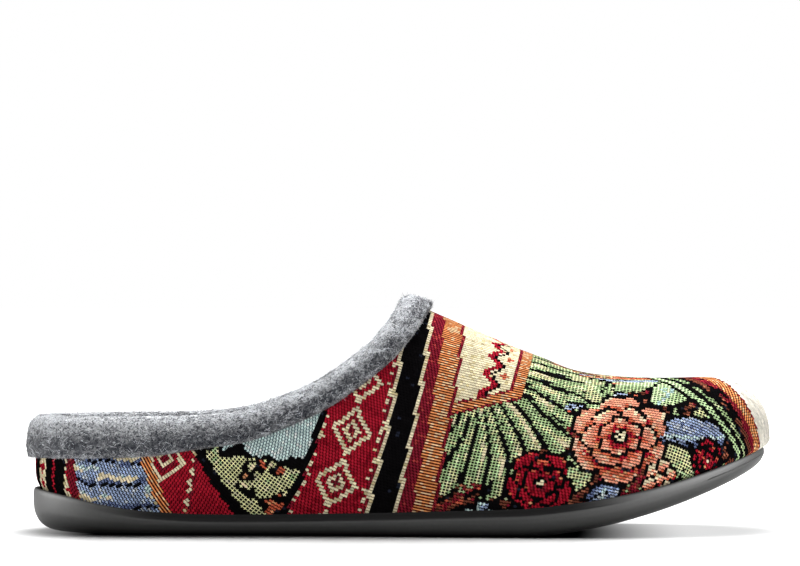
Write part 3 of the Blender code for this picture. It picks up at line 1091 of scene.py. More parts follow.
    def grass(self, panel: Array) -> None:
        """Long grass blown along the ridge, on both sides of it."""
        a, b = self.p, np.abs(self.q)
        light = self.streaks(a - b, b + 0.25 * a, 20.0, 3.0, 71)
        tint = self.streaks(a - b, b + 0.25 * a, 26.0, 2.2, 73)
        self.shaded(panel, light, Shades.GRASS, 0.8)
        self.layers(
            panel,
            ((tint > 0.72) & (light > 0.3), Yarns.SALMON),
            ((tint > 0.78) & (light > 0.3), Yarns.RUST),
            (tint < 0.24, Yarns.SLATE),
            (near(light, 0.44, 0.035) | near(tint, 0.26, 0.025), Yarns.BLACK),
        )

    def garden(self, panel: Array, at: Pair, tilt: float, plants: tuple[tuple[Any, ...], ...]) -> None:
        """Flowers, leaves and berries over undergrowth.

        Args:
            panel: Mask of the panel.
            at: Origin of the plants.
            tilt: Direction of the level in degrees.
            plants: Kind, place and sizes of each plant, from back to front.
        """
        a, b = self.local(at, tilt)
        line = 12.0 + 5.0 * np.sin(a / 9.0) + 5.0 * self.sway(6.0, 72)
        self.ground(panel & (b < line), a, b)
        for kind, x, y, *sizes in plants:
            kind(self, panel, a - x, b - y, *sizes)

    def hills(self, panel: Array, at: Pair, tilt: float) -> None:
        """Meadow with dark trees under a pale sky.

        Args:
            panel: Mask of the panel.
            at: Point on the skyline.
            tilt: Direction of the skyline in degrees.
        """
        a, b = self.local(at, tilt)
        line = -3.0 - 0.35 * a + 2.5 * np.sin(a / 7.0) + 4.0 * self.sway(6.0, 31)
        fringe = 3.0 * self.grain(2.2, 32) + 4.0 * smooth_step(self.grain(9.0, 33), 0.5, 0.8)
        self.fill(panel, Yarns.TEAL, (b < line + fringe, Yarns.BLACK), (b < line, Yarns.OLIVE))
        clump, leaf = self.grain(6.5, 35), self.grain(1.8, 36)
        self.layers(
            panel & (b < line - 0.5),
            (self.streaks(a, b + 0.3 * a, 12.0, 3.0, 34) > 0.68, Yarns.PALE_LEAF),
            ((clump > 0.6) & (leaf > 0.3), Yarns.BLACK),
            ((clump > 0.66) & (leaf > 0.72), Yarns.RUST),
            ((clump > 0.66) & (leaf < 0.1), Yarns.CREAM),
            ((clump < 0.2) & (leaf > 0.55), Yarns.LEAF),
        )

    def waves(self, panel: Array, at: Pair, tilt: float) -> None:
        """Choppy water with pale crests.

        Args:
            panel: Mask of the panel.
            at: Origin of the rows.
            tilt: Direction of the rows in degrees.
        """
        a, b = self.local(at, tilt)
        row = np.mod(b + 1.7 * np.abs(np.sin(a / 4.2)) + 1.5 * self.grain(5.0, 41), self.WAVE)
        crest = self.streaks(a, b, 5.0, 1.4, 42)
        self.fill(
            panel,
            Yarns.SLATE,
            (row < 2.2, Yarns.NAVY),
            ((row < 1.0) & (crest > 0.4), Yarns.BLACK),
            (near(row, 3.2, 1.0) & (crest > 0.38), Yarns.CREAM),
            ((row > 4.0) & (crest > 0.72), Yarns.TEAL),
        )

    def ornament(self, panel: Array, at: Pair, tilt: float, width: float) -> None:
        """Band of lozenges between rows of saw teeth.

        Args:
            panel: Mask of the band.
            at: Point on the band's middle line.
            tilt: Direction of the band in degrees.
            width: Width of the band.
        """
        a, b = self.local(at, tilt)
        half, edge = width * 0.4, width / 2 - np.abs(b)
        inside = np.abs(np.mod(a, 2 * half) - half) / half + np.abs(b) / (width * 0.33)
        teeth = np.abs(np.mod(a, self.TOOTH) - self.TOOTH / 2)
        self.fill(
            panel & (edge > 0.0),
            Yarns.MAROON,
            (near(inside, 0.84, 0.13), Yarns.CREAM),
            (inside < 0.52, Yarns.WINE),
            (near(inside, 0.34, 0.1), Yarns.CREAM),
            (edge < 0.6 + teeth, Yarns.CREAM),
            (edge < 1.0, Yarns.WINE),
        )

    def stripes(self, panel: Array, at: Pair, tilt: float) -> None:
        """Narrow stripes with a row of diamonds.

        Args:
            panel: Mask of the panel.
            at: Origin of the repeat.
            tilt: Direction of the stripes in degrees.
        """
        a, b = self.local(at, tilt)
        row = np.mod(b, self.STRIPES)
        diamond = np.abs(np.mod(a, self.DIAMONDS) - self.DIAMONDS / 2) + np.abs(row - 2.5)
        self.fill(
            panel,
            Yarns.BLACK,
            (row < 5.0, Yarns.CREAM),
            (np.mod(b + 6.0, self.STRIPES) < 1.2, Yarns.MAROON),
            (diamond < 2.1, Yarns.MAROON),
        )

    def border(self, band: Array, lines: Array, yarn: Yarns = Yarns.TWILL) -> None:
        """Ribbed border with dark lines at its edges."""
        self.fill(band, yarn, (lines, Yarns.WINE))

    def draw(self) -> None:
        """Weaves the whole cloth, panel by panel."""
        self.index[:] = self.yarns.index(Yarns.MAROON)
        ahead, up = self.p - self.QUARTER[0], self.QUARTER[1] - np.abs(self.q)
        run, over = turned(ahead, up, self.QUARTER_TILT)
        self.draw_rear(-run - self.QUARTER_LEAN * over)
        self.draw_front()
        self.draw_waist()

    def draw_rear(self, slant: Array) -> None:
        """Weaves the panels behind the waist.

        Args:
            slant: Distance back along the quarters, in millimetres.
        """
        for side, mirror, marks in (
            (self.outer, 1.0, (37.0, 58.0, 88.0)),
            (~self.outer, -1.0, (40.0, 62.0, 92.0)),
        ):
            first, second, third = marks
            middle = (-48.0 - first / 4 + 6.5, (-88.0 - first) * mirror)
            self.hills(side & (slant < first), (-38.0, -92.0 * mirror), 34.0 * mirror)
            self.ornament(side & between(slant, first, second), middle, -48.0 * mirror, self.BAND_WIDTH)
            self.waves(side & between(slant, second, third), (-60.0, -140.0 * mirror), 62.0 * mirror)
            self.stripes(side & (slant > third), (-70.0, -170.0 * mirror), -20.0 * mirror)
            for mark, yarn in zip(marks, (Yarns.BLACK, Yarns.TWILL, Yarns.WINE)):
                self.paint(side & near(slant, mark, 1.8), yarn)

    def draw_waist(self) -> None:
        """Weaves the bands over the instep."""
        bend = self.p - 0.1 * (np.abs(self.q) - 60.0)
        waist = between(bend, -20.0, 27.0)
        self.paint(waist, Yarns.MAROON)
        for side, lean in ((self.outer, self.BAND_TILT), (~self.outer, -self.BAND_TILT)):
            self.ornament(side & waist & (bend < 4.0), (-14.0, 0.0), 90.0 + lean, self.BAND_WIDTH)
        self.paint(near(bend, -20.5, 1.2), Yarns.BLACK)
        self.layers(
            waist,
            (between(bend, 4.0, 5.4), Yarns.CREAM),
            (between(bend, 5.4, 14.0), Yarns.BLACK),
            (between(bend, 14.0, 18.0), Yarns.WINE),
            (near(bend, 14.0, 0.7), Yarns.CREAM),
        )
        self.border(between(bend, 18.0, 27.0), (bend < 19.2) | (bend > 25.8))

    def draw_front(self) -> None:
        """Weaves the panels of the forefoot."""
        p, q = self.p, self.q
        front = p > 20.0
        self.grass(front)
        self.garden(front & (q < 0.0), (84.0, -44.0), 12.0, self.OUTER_PLANTS)
        self.garden(front & (q > 0.0), (84.0, 44.0), 168.0, self.INNER_PLANTS)
        self.draw_instep(front & (p < 52.0))
        middle, half_length, half_width, scale = self.TOE_CENTRE
        ring = scale * (np.hypot((p - middle) / half_length, q / half_width) - 1)
        for start, yarn in self.TOE_RINGS:
            self.paint(ring < start, yarn)
        self.paint(between(ring, 6.0, 15.2) & (self.streaks(ring, q - p, 2.0, 5.0, 74) > 0.7), Yarns.BLACK)
        self.border(ring < 6.0, (ring > 5.2) | (ring < 0.8), Yarns.RIB)
        self.paint(ring < 0.0, Yarns.TOE_CREAM)

    def draw_instep(self, area: Array) -> None:
        """Weaves the pale band across the instep.

        Args:
            area: Mask of the stitches that it may take.
        """
        p, q = self.p, self.q
        ends = np.maximum(np.abs(q) - 44.0 + 0.5 * (p - 30.0), p - 44.0)
        tooth = 4.5 * np.abs(np.mod(q / 4.5, 2.0) - 1.0)
        spot = np.abs(np.mod(q, 9.0) - 4.5) + np.abs(p - 41.0)
        self.fill(
            area & (ends < 0.0),
            Yarns.CREAM,
            (near(p - tooth, 33.5, 1.2), Yarns.MAROON),
            (near(p - tooth, 35.7, 0.6), Yarns.BLACK),
            (spot < 1.7, Yarns.RUST),
        )
        rim_line = np.abs(ends - 2.6)
        self.border(area & (rim_line < 2.6), rim_line > 1.8)

    OUTER_PLANTS = (
        (leaf, 14.0, 8.0, 62.0, 24.0, Shades.PALE),
        (leaf, -4.0, 10.0, 118.0, 24.0, Shades.GREEN),
        (leaf, 28.0, 2.0, 42.0, 20.0, Shades.GREEN),
        (fronds, -52.0, 18.0, 46.0),
        (leaf, 15.0, -4.0, 10.0, 28.0, Shades.BLUE),
        (leaf, 13.0, -11.0, -14.0, 27.0, Shades.GREEN),
        (leaf, -8.0, -16.0, 205.0, 26.0, Shades.GREEN),
        (leaf, -2.0, -20.0, 262.0, 20.0, Shades.BLUE),
        (blossom, 1.0, -5.0, 17.5, 6, Shades.WARM),
        (blossom, -27.0, -21.0, 11.5, 5, Shades.RED),
        (blossom, 36.0, -10.0, 7.0, 5, Shades.RED),
        (berries, 17.0, -19.0, Shades.WARM),
        (berries, -47.0, -33.0, Shades.BLUE),
    )
    INNER_PLANTS = (
        (leaf, -12.0, 8.0, 120.0, 24.0, Shades.PALE),
        (fronds, 50.0, 16.0, 44.0),
        (leaf, -10.0, -8.0, 170.0, 24.0, Shades.GREEN),
        (leaf, 8.0, -14.0, -32.0, 26.0, Shades.GREEN),
        (leaf, 2.0, -18.0, 280.0, 20.0, Shades.BLUE),
        (blossom, -2.0, -4.0, 15.0, 7, Shades.BLUE),
        (blossom, 27.0, -20.0, 13.0, 6, Shades.WARM),
        (berries, -22.0, -22.0, Shades.RED),
    )

    def by_yarn(self, values: Sequence[Any]) -> Array:
        """Gives each stitch the value of its yarn."""
        return np.array(values)[self.index]

    def colours(self, seed: int) -> tuple[Array, Array, Array]:
        """Colours of the stitches.

        Args:
            seed: Number that picks the odd stitches.

        Returns:
            Linear yarn colours, linear ground colours and window sizes, one row per stitch.
        """
        rng = np.random.default_rng(seed)
        yarns = [yarn.value for yarn in self.yarns]
        main = self.by_yarn([srgb(*yarn.main) for yarn in yarns])
        ground = self.by_yarn([srgb(*yarn.ground) for yarn in yarns])
        fleck = self.by_yarn([srgb(*yarn.fleck) for yarn in yarns])
        odd = rng.random(len(main)) < self.by_yarn([yarn.fleck_share for yarn in yarns])
        vary = self.by_yarn([yarn.vary for yarn in yarns])
        tone = 1 + vary * rng.normal(0.0, 1.0, len(main)).clip(-2.0, 2.0)
        tone += 0.36 * (self.streaks(self.p, self.q, 15.0, self.pitch[1], 91) - 0.5)
        yarn = np.where(odd[:, None], fleck, main) * tone[:, None]
        return yarn, ground, self.by_yarn([yarn.window for yarn in yarns])


def grid_bmesh(points: Array) -> BMesh:
    """Grid of quads through an array of points.

    Args:
        points: Points in millimetres, rows by columns.

    Returns:
        The grid in metres, with the points' order kept.
    """
    rows, columns = points.shape[:2]
    bm = bmesh.new()
    bmesh.ops.create_grid(bm, x_segments=columns - 1, y_segments=rows - 1, size=1.0)
    for vert, point in zip(bm.verts, points.reshape(-1, 3) * MM):
        vert.co = point
    return bm


def mesh_from(name: str, bm: BMesh) -> Mesh:
    """Turns a bmesh into a mesh and frees it."""
    mesh = bpy.data.meshes.new(name)
    bm.to_mesh(mesh)
    bm.free()
    return mesh


def placed(name: str, data: bpy.types.ID) -> Object:
    """Puts a new object that holds the data in the scene."""
    made = bpy.data.objects.new(name, data)
    bpy.context.scene.collection.objects.link(made)
    return made


def shown_piece(name: str, mesh: Mesh, material: Material) -> Object:
    """Makes a smooth piece that rides on the slipper.

    Args:
        name: Name of the piece.
        mesh: Its mesh.
        material: Its finish.

    Returns:
        The piece.
    """
    mesh.materials.append(material)
    mesh.shade_smooth()
    piece = placed(name, mesh)
    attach(piece, BODY)
    LOG.info("%s: %d faces", name, len(mesh.polygons))
    return piece


def closed_rings(rings: Sequence[Array]) -> Array:
    """Stacks rings of points, with the end of each on its start."""
    points = np.array(rings)
    points[:, -1] = points[:, 0]
    return points


def closed_skin(name: str, points: Array, mark: str = "", marks: Array | None = None) -> Mesh:
    """Grid through the points with its meeting edges merged and its faces turned outwards.

    Args:
        name: Name of the mesh.
        points: Points in millimetres, rows by columns.
        mark: Name of the marks, where there are any.
        marks: One number per point, rows by columns.

    Returns:
        The closed mesh in metres.
    """
    bm = grid_bmesh(points)
    if marks is not None:
        layer = bm.verts.layers.float.new(mark)
        for vert, value in zip(bm.verts, marks.ravel()):
            vert[layer] = value
    bmesh.ops.remove_doubles(bm, verts=bm.verts, dist=MERGE_REACH)
    bmesh.ops.recalc_face_normals(bm, faces=bm.faces)
    return mesh_from(name, bm)


@dataclass
class Tapestry:
    """The woven upper: a flat cloth, charted stitch by stitch and drawn over the last."""

    last: Last
    pitch: Pair = (1.22, 1.03)
    thickness: float = 0.8
    tuck: float = 2.6
    toe_puff: float = 1.3
    puff_run: Pair = (96.0, 124.0)
    puff_height: float = 1.4
    puff_spread: float = 1.7
    crease_lean: float = 0.25
    crease_rise: Pair = (8.0, 26.0)
    seam_allowance: float = 0.012
    net_reach: float = 0.01
    cage_columns: int = 128
    cage_rings: int = 20
    unwrap_rounds: int = 60
    seed: int = 7
    creases: Table = Table(
        ("x", "depth"),
        (
            (-60.0, 0.0),
            (-20.0, 0.12),
            (20.0, 0.0),
            (40.0, 0.3),
            (52.0, -0.25),
            (62.0, 0.3),
            (80.0, 0.0),
            (120.0, 0.0),
        ),
    )

    def cage(self) -> tuple[Array, Array, Array]:
        """Coarse net over the part of the last that the cloth covers.

        Returns:
            Turns, climbs and points, rings by columns.
        """
        turn = np.linspace(-self.seam_allowance, 2.0 + self.seam_allowance, self.cage_columns + 1)
        foot = self.last.rim_climb(turn, self.tuck)
        climbs, lengths = self.last.column_lengths(turn)
        longest = np.array([np.interp(-foot[i], -climbs, lengths[:, i]) for i in range(len(turn))])
        climb = np.empty((self.cage_rings + 1, len(turn)))
        for ring, share in zip(climb, np.linspace(1.0, 0.0, self.cage_rings + 1)):
            ring[:] = [np.interp(share * longest[i], lengths[:, i], climbs) for i in range(len(turn))]
        points = np.array([self.last.points(turn, ring) for ring in climb])
        return np.broadcast_to(turn, climb.shape), climb, points

    def flatten(self, points: Array) -> Array:
        """Lays the net flat with the least stretch.

        Args:
            points: Net over the last, rings by columns.

        Returns:
            Flat places in millimetres: p to the toe from the throat, q to the inner side.
        """
        mesh = mesh_from("net", grid_bmesh(points))
        net = placed("net", mesh)
        mesh.uv_layers.new(name="flat")
        bpy.context.view_layer.objects.active = net
        net.select_set(True)
        bpy.ops.object.mode_set(mode="EDIT")
        bpy.ops.mesh.select_all(action="SELECT")
        bpy.ops.uv.unwrap(
            method="MINIMUM_STRETCH", margin=0.0, correct_aspect=False, iterations=self.unwrap_rounds
        )
        bpy.ops.object.mode_set(mode="OBJECT")
        corners = np.empty(len(mesh.loops) * 2)
        mesh.uv_layers["flat"].uv.foreach_get("vector", corners)
        owner = np.empty(len(mesh.loops), int)
        mesh.loops.foreach_get("vertex_index", owner)
        flat = np.zeros((len(mesh.vertices), 2))
        flat[owner] = corners.reshape(-1, 2)
        bpy.data.objects.remove(net)
        bpy.data.meshes.remove(mesh)
        return self.squared(flat.reshape(*points.shape[:2], 2), points)

    def squared(self, flat: Array, points: Array) -> Array:
        """Scales the flat net to true size, turns its toe to +p and its inner side to +q."""
        true_lengths = np.linalg.norm(np.diff(points, axis=1), axis=-1).sum()
        flat = flat * true_lengths / np.linalg.norm(np.diff(flat, axis=1), axis=-1).sum()
        middle = self.cage_columns // 2
        throat, toe = flat[-1, middle], flat[0, middle]
        axis = (toe - throat) / np.linalg.norm(toe - throat)
        p = (flat - throat) @ axis
        q = (flat - throat) @ np.array([-axis[1], axis[0]])
        return np.stack([p, q if q[0, -1] > 0.0 else -q], axis=-1)

    def seat(self, flat: Array, turn: Array, climb: Array, places: Array) -> tuple[Array, Array, Array]:
        """Finds where places on the flat cloth lie on the last.

        Args:
            flat: Flat net, rings by columns.
            turn: Turns of the net.
            climb: Climbs of the net.
            places: Places on the flat cloth, one per row.

        Returns:
            Turns, climbs and whether each place is inside the net.
        """
        rings, columns = flat.shape[:2]
        index = np.arange(rings * columns).reshape(rings, columns)
        a, b, c, d = (x.ravel() for x in (index[:-1, :-1], index[:-1, 1:], index[1:, 1:], index[1:, :-1]))
        triangles = np.vstack([np.column_stack([a, b, c]), np.column_stack([a, c, d])])
        net = flat.reshape(-1, 2)
        tree = BVHTree.FromPolygons([(x, y, 0.0) for x, y in net], triangles.tolist())
        hits = [tree.find_nearest((x, y, 0.0)) for x, y in places]
        found = np.array([hit[2] for hit in hits])
        inside = np.array([hit[3] for hit in hits]) < self.net_reach
        first, second, third = (net[triangles[found, k]] for k in range(3))
        one, two, to = second - first, third - first, places - first
        area = one[:, 0] * two[:, 1] - one[:, 1] * two[:, 0]
        v = (to[:, 0] * two[:, 1] - to[:, 1] * two[:, 0]) / area
        w = (one[:, 0] * to[:, 1] - one[:, 1] * to[:, 0]) / area
        weights = np.column_stack([1 - v - w, v, w])
        seated = [(values.ravel()[triangles[found]] * weights).sum(axis=1) for values in (turn, climb)]
        return seated[0], np.clip(seated[1], 0.0, 1.0), inside

    def draped(self, turn: Array, climb: Array) -> Array:
        """Points of the cloth, softly creased over the joint of the toes and puffed round the toe."""
        points = self.last.points(turn, climb)
        x, over = points[:, 0], points[:, 2] - self.last.rim(points[:, 0])
        crease = self.creases.at("depth", x + self.crease_lean * np.abs(points[:, 1]))
        swell = np.exp(-(((over - self.puff_height) / self.puff_spread) ** 2))
        puff = self.toe_puff * smooth_step(x, *self.puff_run) * swell
        depth = crease * smooth_step(over, *self.crease_rise) - puff
        return points - self.last.normals(turn, climb) * depth[:, None]

    def cloth(self) -> tuple[BMesh, list[float]]:
        """Makes the stitches on the flat cloth and draws them over the last.

        Returns:
            The cloth with one face per stitch, and its flat size in metres.
        """
        turn, climb, net = self.cage()
        flat = self.flatten(net)
        pitch = np.array(self.pitch)
        low = np.floor(flat.reshape(-1, 2).min(axis=0) / pitch).astype(int)
        high = np.ceil(flat.reshape(-1, 2).max(axis=0) / pitch).astype(int)
        count = high - low
        bm = bmesh.new()
        bmesh.ops.create_grid(bm, x_segments=int(count[0]), y_segments=int(count[1]), size=1.0)
        steps = np.array([(v.co.x, v.co.y) for v in bm.verts])
        steps = np.round((steps + 1) / 2 * count) + low
        turns, climbs, inside = self.seat(flat, turn, climb, steps * pitch)
        points = np.zeros((len(steps), 3))
        points[inside] = self.draped(turns[inside], climbs[inside]) * MM
        for vert, point in zip(bm.verts, points):
            vert.co = point
        thread = bm.loops.layers.uv.new("thread")
        outside, ends = [], {side: [] for side in Side}
        for face in bm.faces:
            if not all(inside[vert.index] for vert in face.verts):
                outside.append(face)
                continue
            for corner in face.loops:
                corner[thread].uv = steps[corner.vert.index]
            first = face.verts[0]
            if first.co.x < self.last.heel_centre_x * MM:
                ends[Side.INNER if turns[first.index] > 1.0 else Side.OUTER].append(face)
        bmesh.ops.delete(bm, geom=outside, context="FACES")
        for side, faces in ends.items():
            self.trim(bm, faces, side)
        bmesh.ops.recalc_face_normals(bm, faces=bm.faces)
        return bm, (count * pitch * MM).tolist()

    def trim(self, bm: BMesh, faces: list[bmesh.types.BMFace], side: Side) -> None:
        """Cuts one end of the cloth off at the heel seam.

        Args:
            bm: The cloth.
            faces: Stitches at that end.
            side: Side of the foot that they lie on.
        """
        geometry = [*dict.fromkeys(item for face in faces for item in (*face.verts, *face.edges)), *faces]
        bmesh.ops.bisect_plane(
            bm,
            geom=geometry,
            dist=CUT_REACH,
            plane_co=(0.0, 0.0, 0.0),
            plane_no=(0.0, -side.value, 0.0),
            clear_outer=True,
        )

    def build(self) -> Object:
        """Makes the cloth.

        Returns:
            The piece, which stands for the upper.
        """
        bm, size = self.cloth()
        piece = shown_piece("tapestry_upper", mesh_from("tapestry_upper", bm), WeaveFinish().build())
        self.weave(piece.data)
        wall = piece.modifiers.new("cloth", "SOLIDIFY")
        wall.thickness = self.thickness * MM
        wall.offset = -1.0
        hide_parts("upper")
        area = sum(polygon.area for polygon in piece.data.polygons)
        max(area, 0.3 * size[0] * size[1])
        return piece

    def weave(self, mesh: Mesh) -> None:
        """Gives each stitch its colours from the chart."""
        corners = np.empty(len(mesh.loops) * 2)
        mesh.uv_layers["thread"].uv.foreach_get("vector", corners)
        starts = np.empty(len(mesh.polygons), int)
        sizes = np.empty(len(mesh.polygons), int)
        mesh.polygons.foreach_get("loop_start", starts)
        mesh.polygons.foreach_get("loop_total", sizes)
        sums = np.add.reduceat(corners.reshape(-1, 2), starts, axis=0)
        chart = Chart(np.floor(sums / sizes[:, None]).astype(int), self.pitch)
        chart.draw()
        yarn, ground, window = chart.colours(self.seed)
        solid = np.ones((len(yarn), 1))
        for name, values in (("yarn", yarn), ("ground", ground)):
            layer = mesh.attributes.new(name, "FLOAT_COLOR", "FACE")
            layer.data.foreach_set("color", np.hstack([values, solid]).ravel())
        layer = mesh.attributes.new("window", "FLOAT_VECTOR", "FACE")
        layer.data.foreach_set("vector", window.ravel())


@dataclass
class FeltParts:
    """The felt pieces: folded collar, lining and felt-covered footbed."""

    last: Last
    columns: int = 420
    lining_rings: int = 26
    lining_outside: float = 0.95
    lining_inside: float = 2.2
    tuck: float = 2.6
    roll_steps: int = 11
    rings_per_step: int = 4
    slot_inside: float = 2.65
    lump_size: float = 3.2
    fine_lump_size: float = 1.28
    fine_lump_share: float = 0.5
    lump_height: float = 0.45
    lump_seeds: tuple[int, int] = (5, 6)
    # Painted light on the collar: paler on its lit top, less down the inner side, some at the lower edge and
    # throat.
    top_painted_light: Pair = (2.9, 4.5)
    inside_fade: Pair = (6.5, 8.5)
    inside_fade_share: float = 0.7
    lower_painted_light: Pair = (1.7, 2.3)
    lower_painted_light_share: float = 0.6
    throat_painted_light: Pair = (-24.0, 8.0)
    throat_painted_light_share: float = 0.5
    insole_inset: float = 5.2
    insole_thickness: float = 3.5
    insole_edge: float = 1.0
    insole_under_rings: int = 14
    insole_top_rings: int = 24
    dent_depth: float = 0.25
    dent_size: float = 6.0
    dent_run: Pair = (0.0, 0.3)
    dent_seed: int = 9
    roll: Table = Table(
        ("step", "band", "rise", "out", "free"),
        (
            (0.0, 1.0, 0.0, 0.3, 0.0),
            (1.0, 1.0, 0.25, 1.9, 1.0),
            (2.0, 0.92, 0.0, 2.85, 1.0),
            (3.0, 0.58, 0.0, 3.3, 1.0),
            (4.0, 0.22, 0.0, 3.0, 1.0),
            (5.0, 0.0, 0.8, 2.1, 1.0),
            (6.0, 0.0, 3.0, -0.4, 1.0),
            (7.0, 0.0, 2.4, -3.0, 1.0),
            (8.0, 0.0, 0.0, -4.6, 1.0),
            (9.0, 0.5, 0.0, -4.9, 1.0),
            (10.0, 0.86, 0.0, -4.3, 1.0),
            (11.0, 0.9, 0.0, -2.65, 0.0),
        ),
    )

    def turns(self) -> Array:
        """Turns of the columns, with the first one repeated at the end."""
        return np.linspace(0.0, 2.0, self.columns + 1)

    def collar_points(self) -> Array:
        """Skin of the collar, rings by columns, with its felt lumps.

        Returns:
            Points in millimetres.
        """
        turn = self.turns()
        band = self.last.edge.at("band", self.last.edge_points(turn)[:, 0])
        up = self.last.rise(turn, np.ones(len(turn)))
        steps = np.linspace(0.0, self.roll_steps, self.roll_steps * self.rings_per_step + 1)
        table = {name: self.roll.at(name, steps) for name in ("band", "rise", "out", "free")}
        rings = []
        for share, rise, out, free in zip(*table.values()):
            climb = self.last.edge_climb(turn, np.clip(share, 0.0, 1.0) * band)
            normal = self.last.normals(turn, climb)
            ring = self.last.points(turn, climb) + up * rise
            coarse, fine = (
                lattice_noise(ring + normal * out, size, seed) - 0.5
                for size, seed in zip((self.lump_size, self.fine_lump_size), self.lump_seeds)
            )
            lump = self.lump_height * (coarse + self.fine_lump_share * fine) * np.sign(out + 0.5)
            rings.append(ring + normal * (out + free * lump)[:, None])
        for out, shares in ((-self.slot_inside, (0.5, 0.0)), (self.last.gap, (0.0, 0.5, 1.0))):
            rings += [self.slot_ring(turn, share * band, out) for share in shares]
        points = closed_rings(rings)
        points[-1] = points[0]
        return points

    def slot_ring(self, turn: Array, drop: Array, out: float) -> Array:
        """Ring on the slot that the upper's edge stands in."""
        climb = self.last.edge_climb(turn, drop)
        lift = np.where(drop > 0.0, 0.0, self.last.gap)[:, None] * self.last.rise(turn, np.ones(len(turn)))
        return self.last.points(turn, climb) + self.last.normals(turn, climb) * out + lift

    def collar(self, material: Material) -> tuple[Array, Array]:
        """Folded felt band over the top edge of the upper.

        Args:
            material: Felt of the band.

        Returns:
            Points of the band and its painted light at them, rings by columns.
        """
        points = self.collar_points()
        painted_light = self.painted_light(points)
        piece = shown_piece("felt_collar", closed_skin("felt_collar", points, "painted_light", painted_light), material)
        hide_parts("collar")
        return points, painted_light

    def painted_light(self, points: Array) -> Array:
        """Painted light on the collar: paler on its lit top, less down the inner side, some at lower edge and
        throat.
        """
        steps = np.minimum(np.arange(len(points)) / self.rings_per_step, self.roll_steps)[:, None]
        inside = self.inside_fade_share * smooth_step(steps, *self.inside_fade)
        top = smooth_step(steps, *self.top_painted_light) * (1 - inside)
        lower_edge = self.lower_painted_light_share * (1 - smooth_step(steps, *self.lower_painted_light))
        throat = self.throat_painted_light_share * smooth_step(points[..., 0], *self.throat_painted_light)
        return np.maximum(np.maximum(top, lower_edge), throat)

    def lining(self, material: Material) -> Object:
        """Felt lining inside the upper.

        Args:
            material: Felt of the lining.

        Returns:
            The piece.
        """
        turn = self.turns()
        foot = self.last.rim_climb(turn, self.tuck)
        rings = []
        for out, shares in ((-self.lining_outside, (0.0, 1.0)), (-self.lining_inside, (1.0, 0.0))):
            for share in np.linspace(*shares, self.lining_rings):
                climb = foot + (1 - foot) * share
                rings.append(self.last.points(turn, climb) + self.last.normals(turn, climb) * out)
        rings.append(rings[0])
        piece = shown_piece("felt_lining", closed_skin("felt_lining", closed_rings(rings)), material)
        return piece

    def insole(self, material: Material) -> Object:
        """Felt-covered footbed.

        Args:
            material: Felt of its cover.

        Returns:
            The piece.
        """
        turn = self.turns()
        top = self.last.gap + self.insole_thickness
        rings = []
        for share in np.linspace(1.0, 0.0, self.insole_under_rings):
            rings.append(self.level_ring(turn, self.insole_inset, share, self.last.gap))
        for drop, inset in ((1.0, 0.0), (0.45, 0.25), (0.15, 0.6), (0.0, 1.0)):
            height = top - drop * self.insole_edge
            rings.append(self.level_ring(turn, self.insole_inset + inset * self.insole_edge, 0.0, height))
        for share in np.linspace(0.0, 1.0, self.insole_top_rings)[1:]:
            ring = self.level_ring(turn, self.insole_inset + self.insole_edge, share, top)
            dent = self.dent_depth * lattice_noise(ring, self.dent_size, self.dent_seed)
            ring[:, 2] -= dent * smooth_step(share, *self.dent_run)
            rings.append(ring)
        piece = shown_piece("felt_insole", closed_skin("felt_insole", closed_rings(rings)), material)
        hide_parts("insole")
        return piece

    def level_ring(self, turn: Array, inset: float, share: float, height: float) -> Array:
        """Ring over the sole's floor, drawn in from the outline towards the spine by share."""
        plan = self.last.drawn_in(turn, inset, share)
        return np.column_stack([plan, self.last.floor(plan[:, 0]) + height])


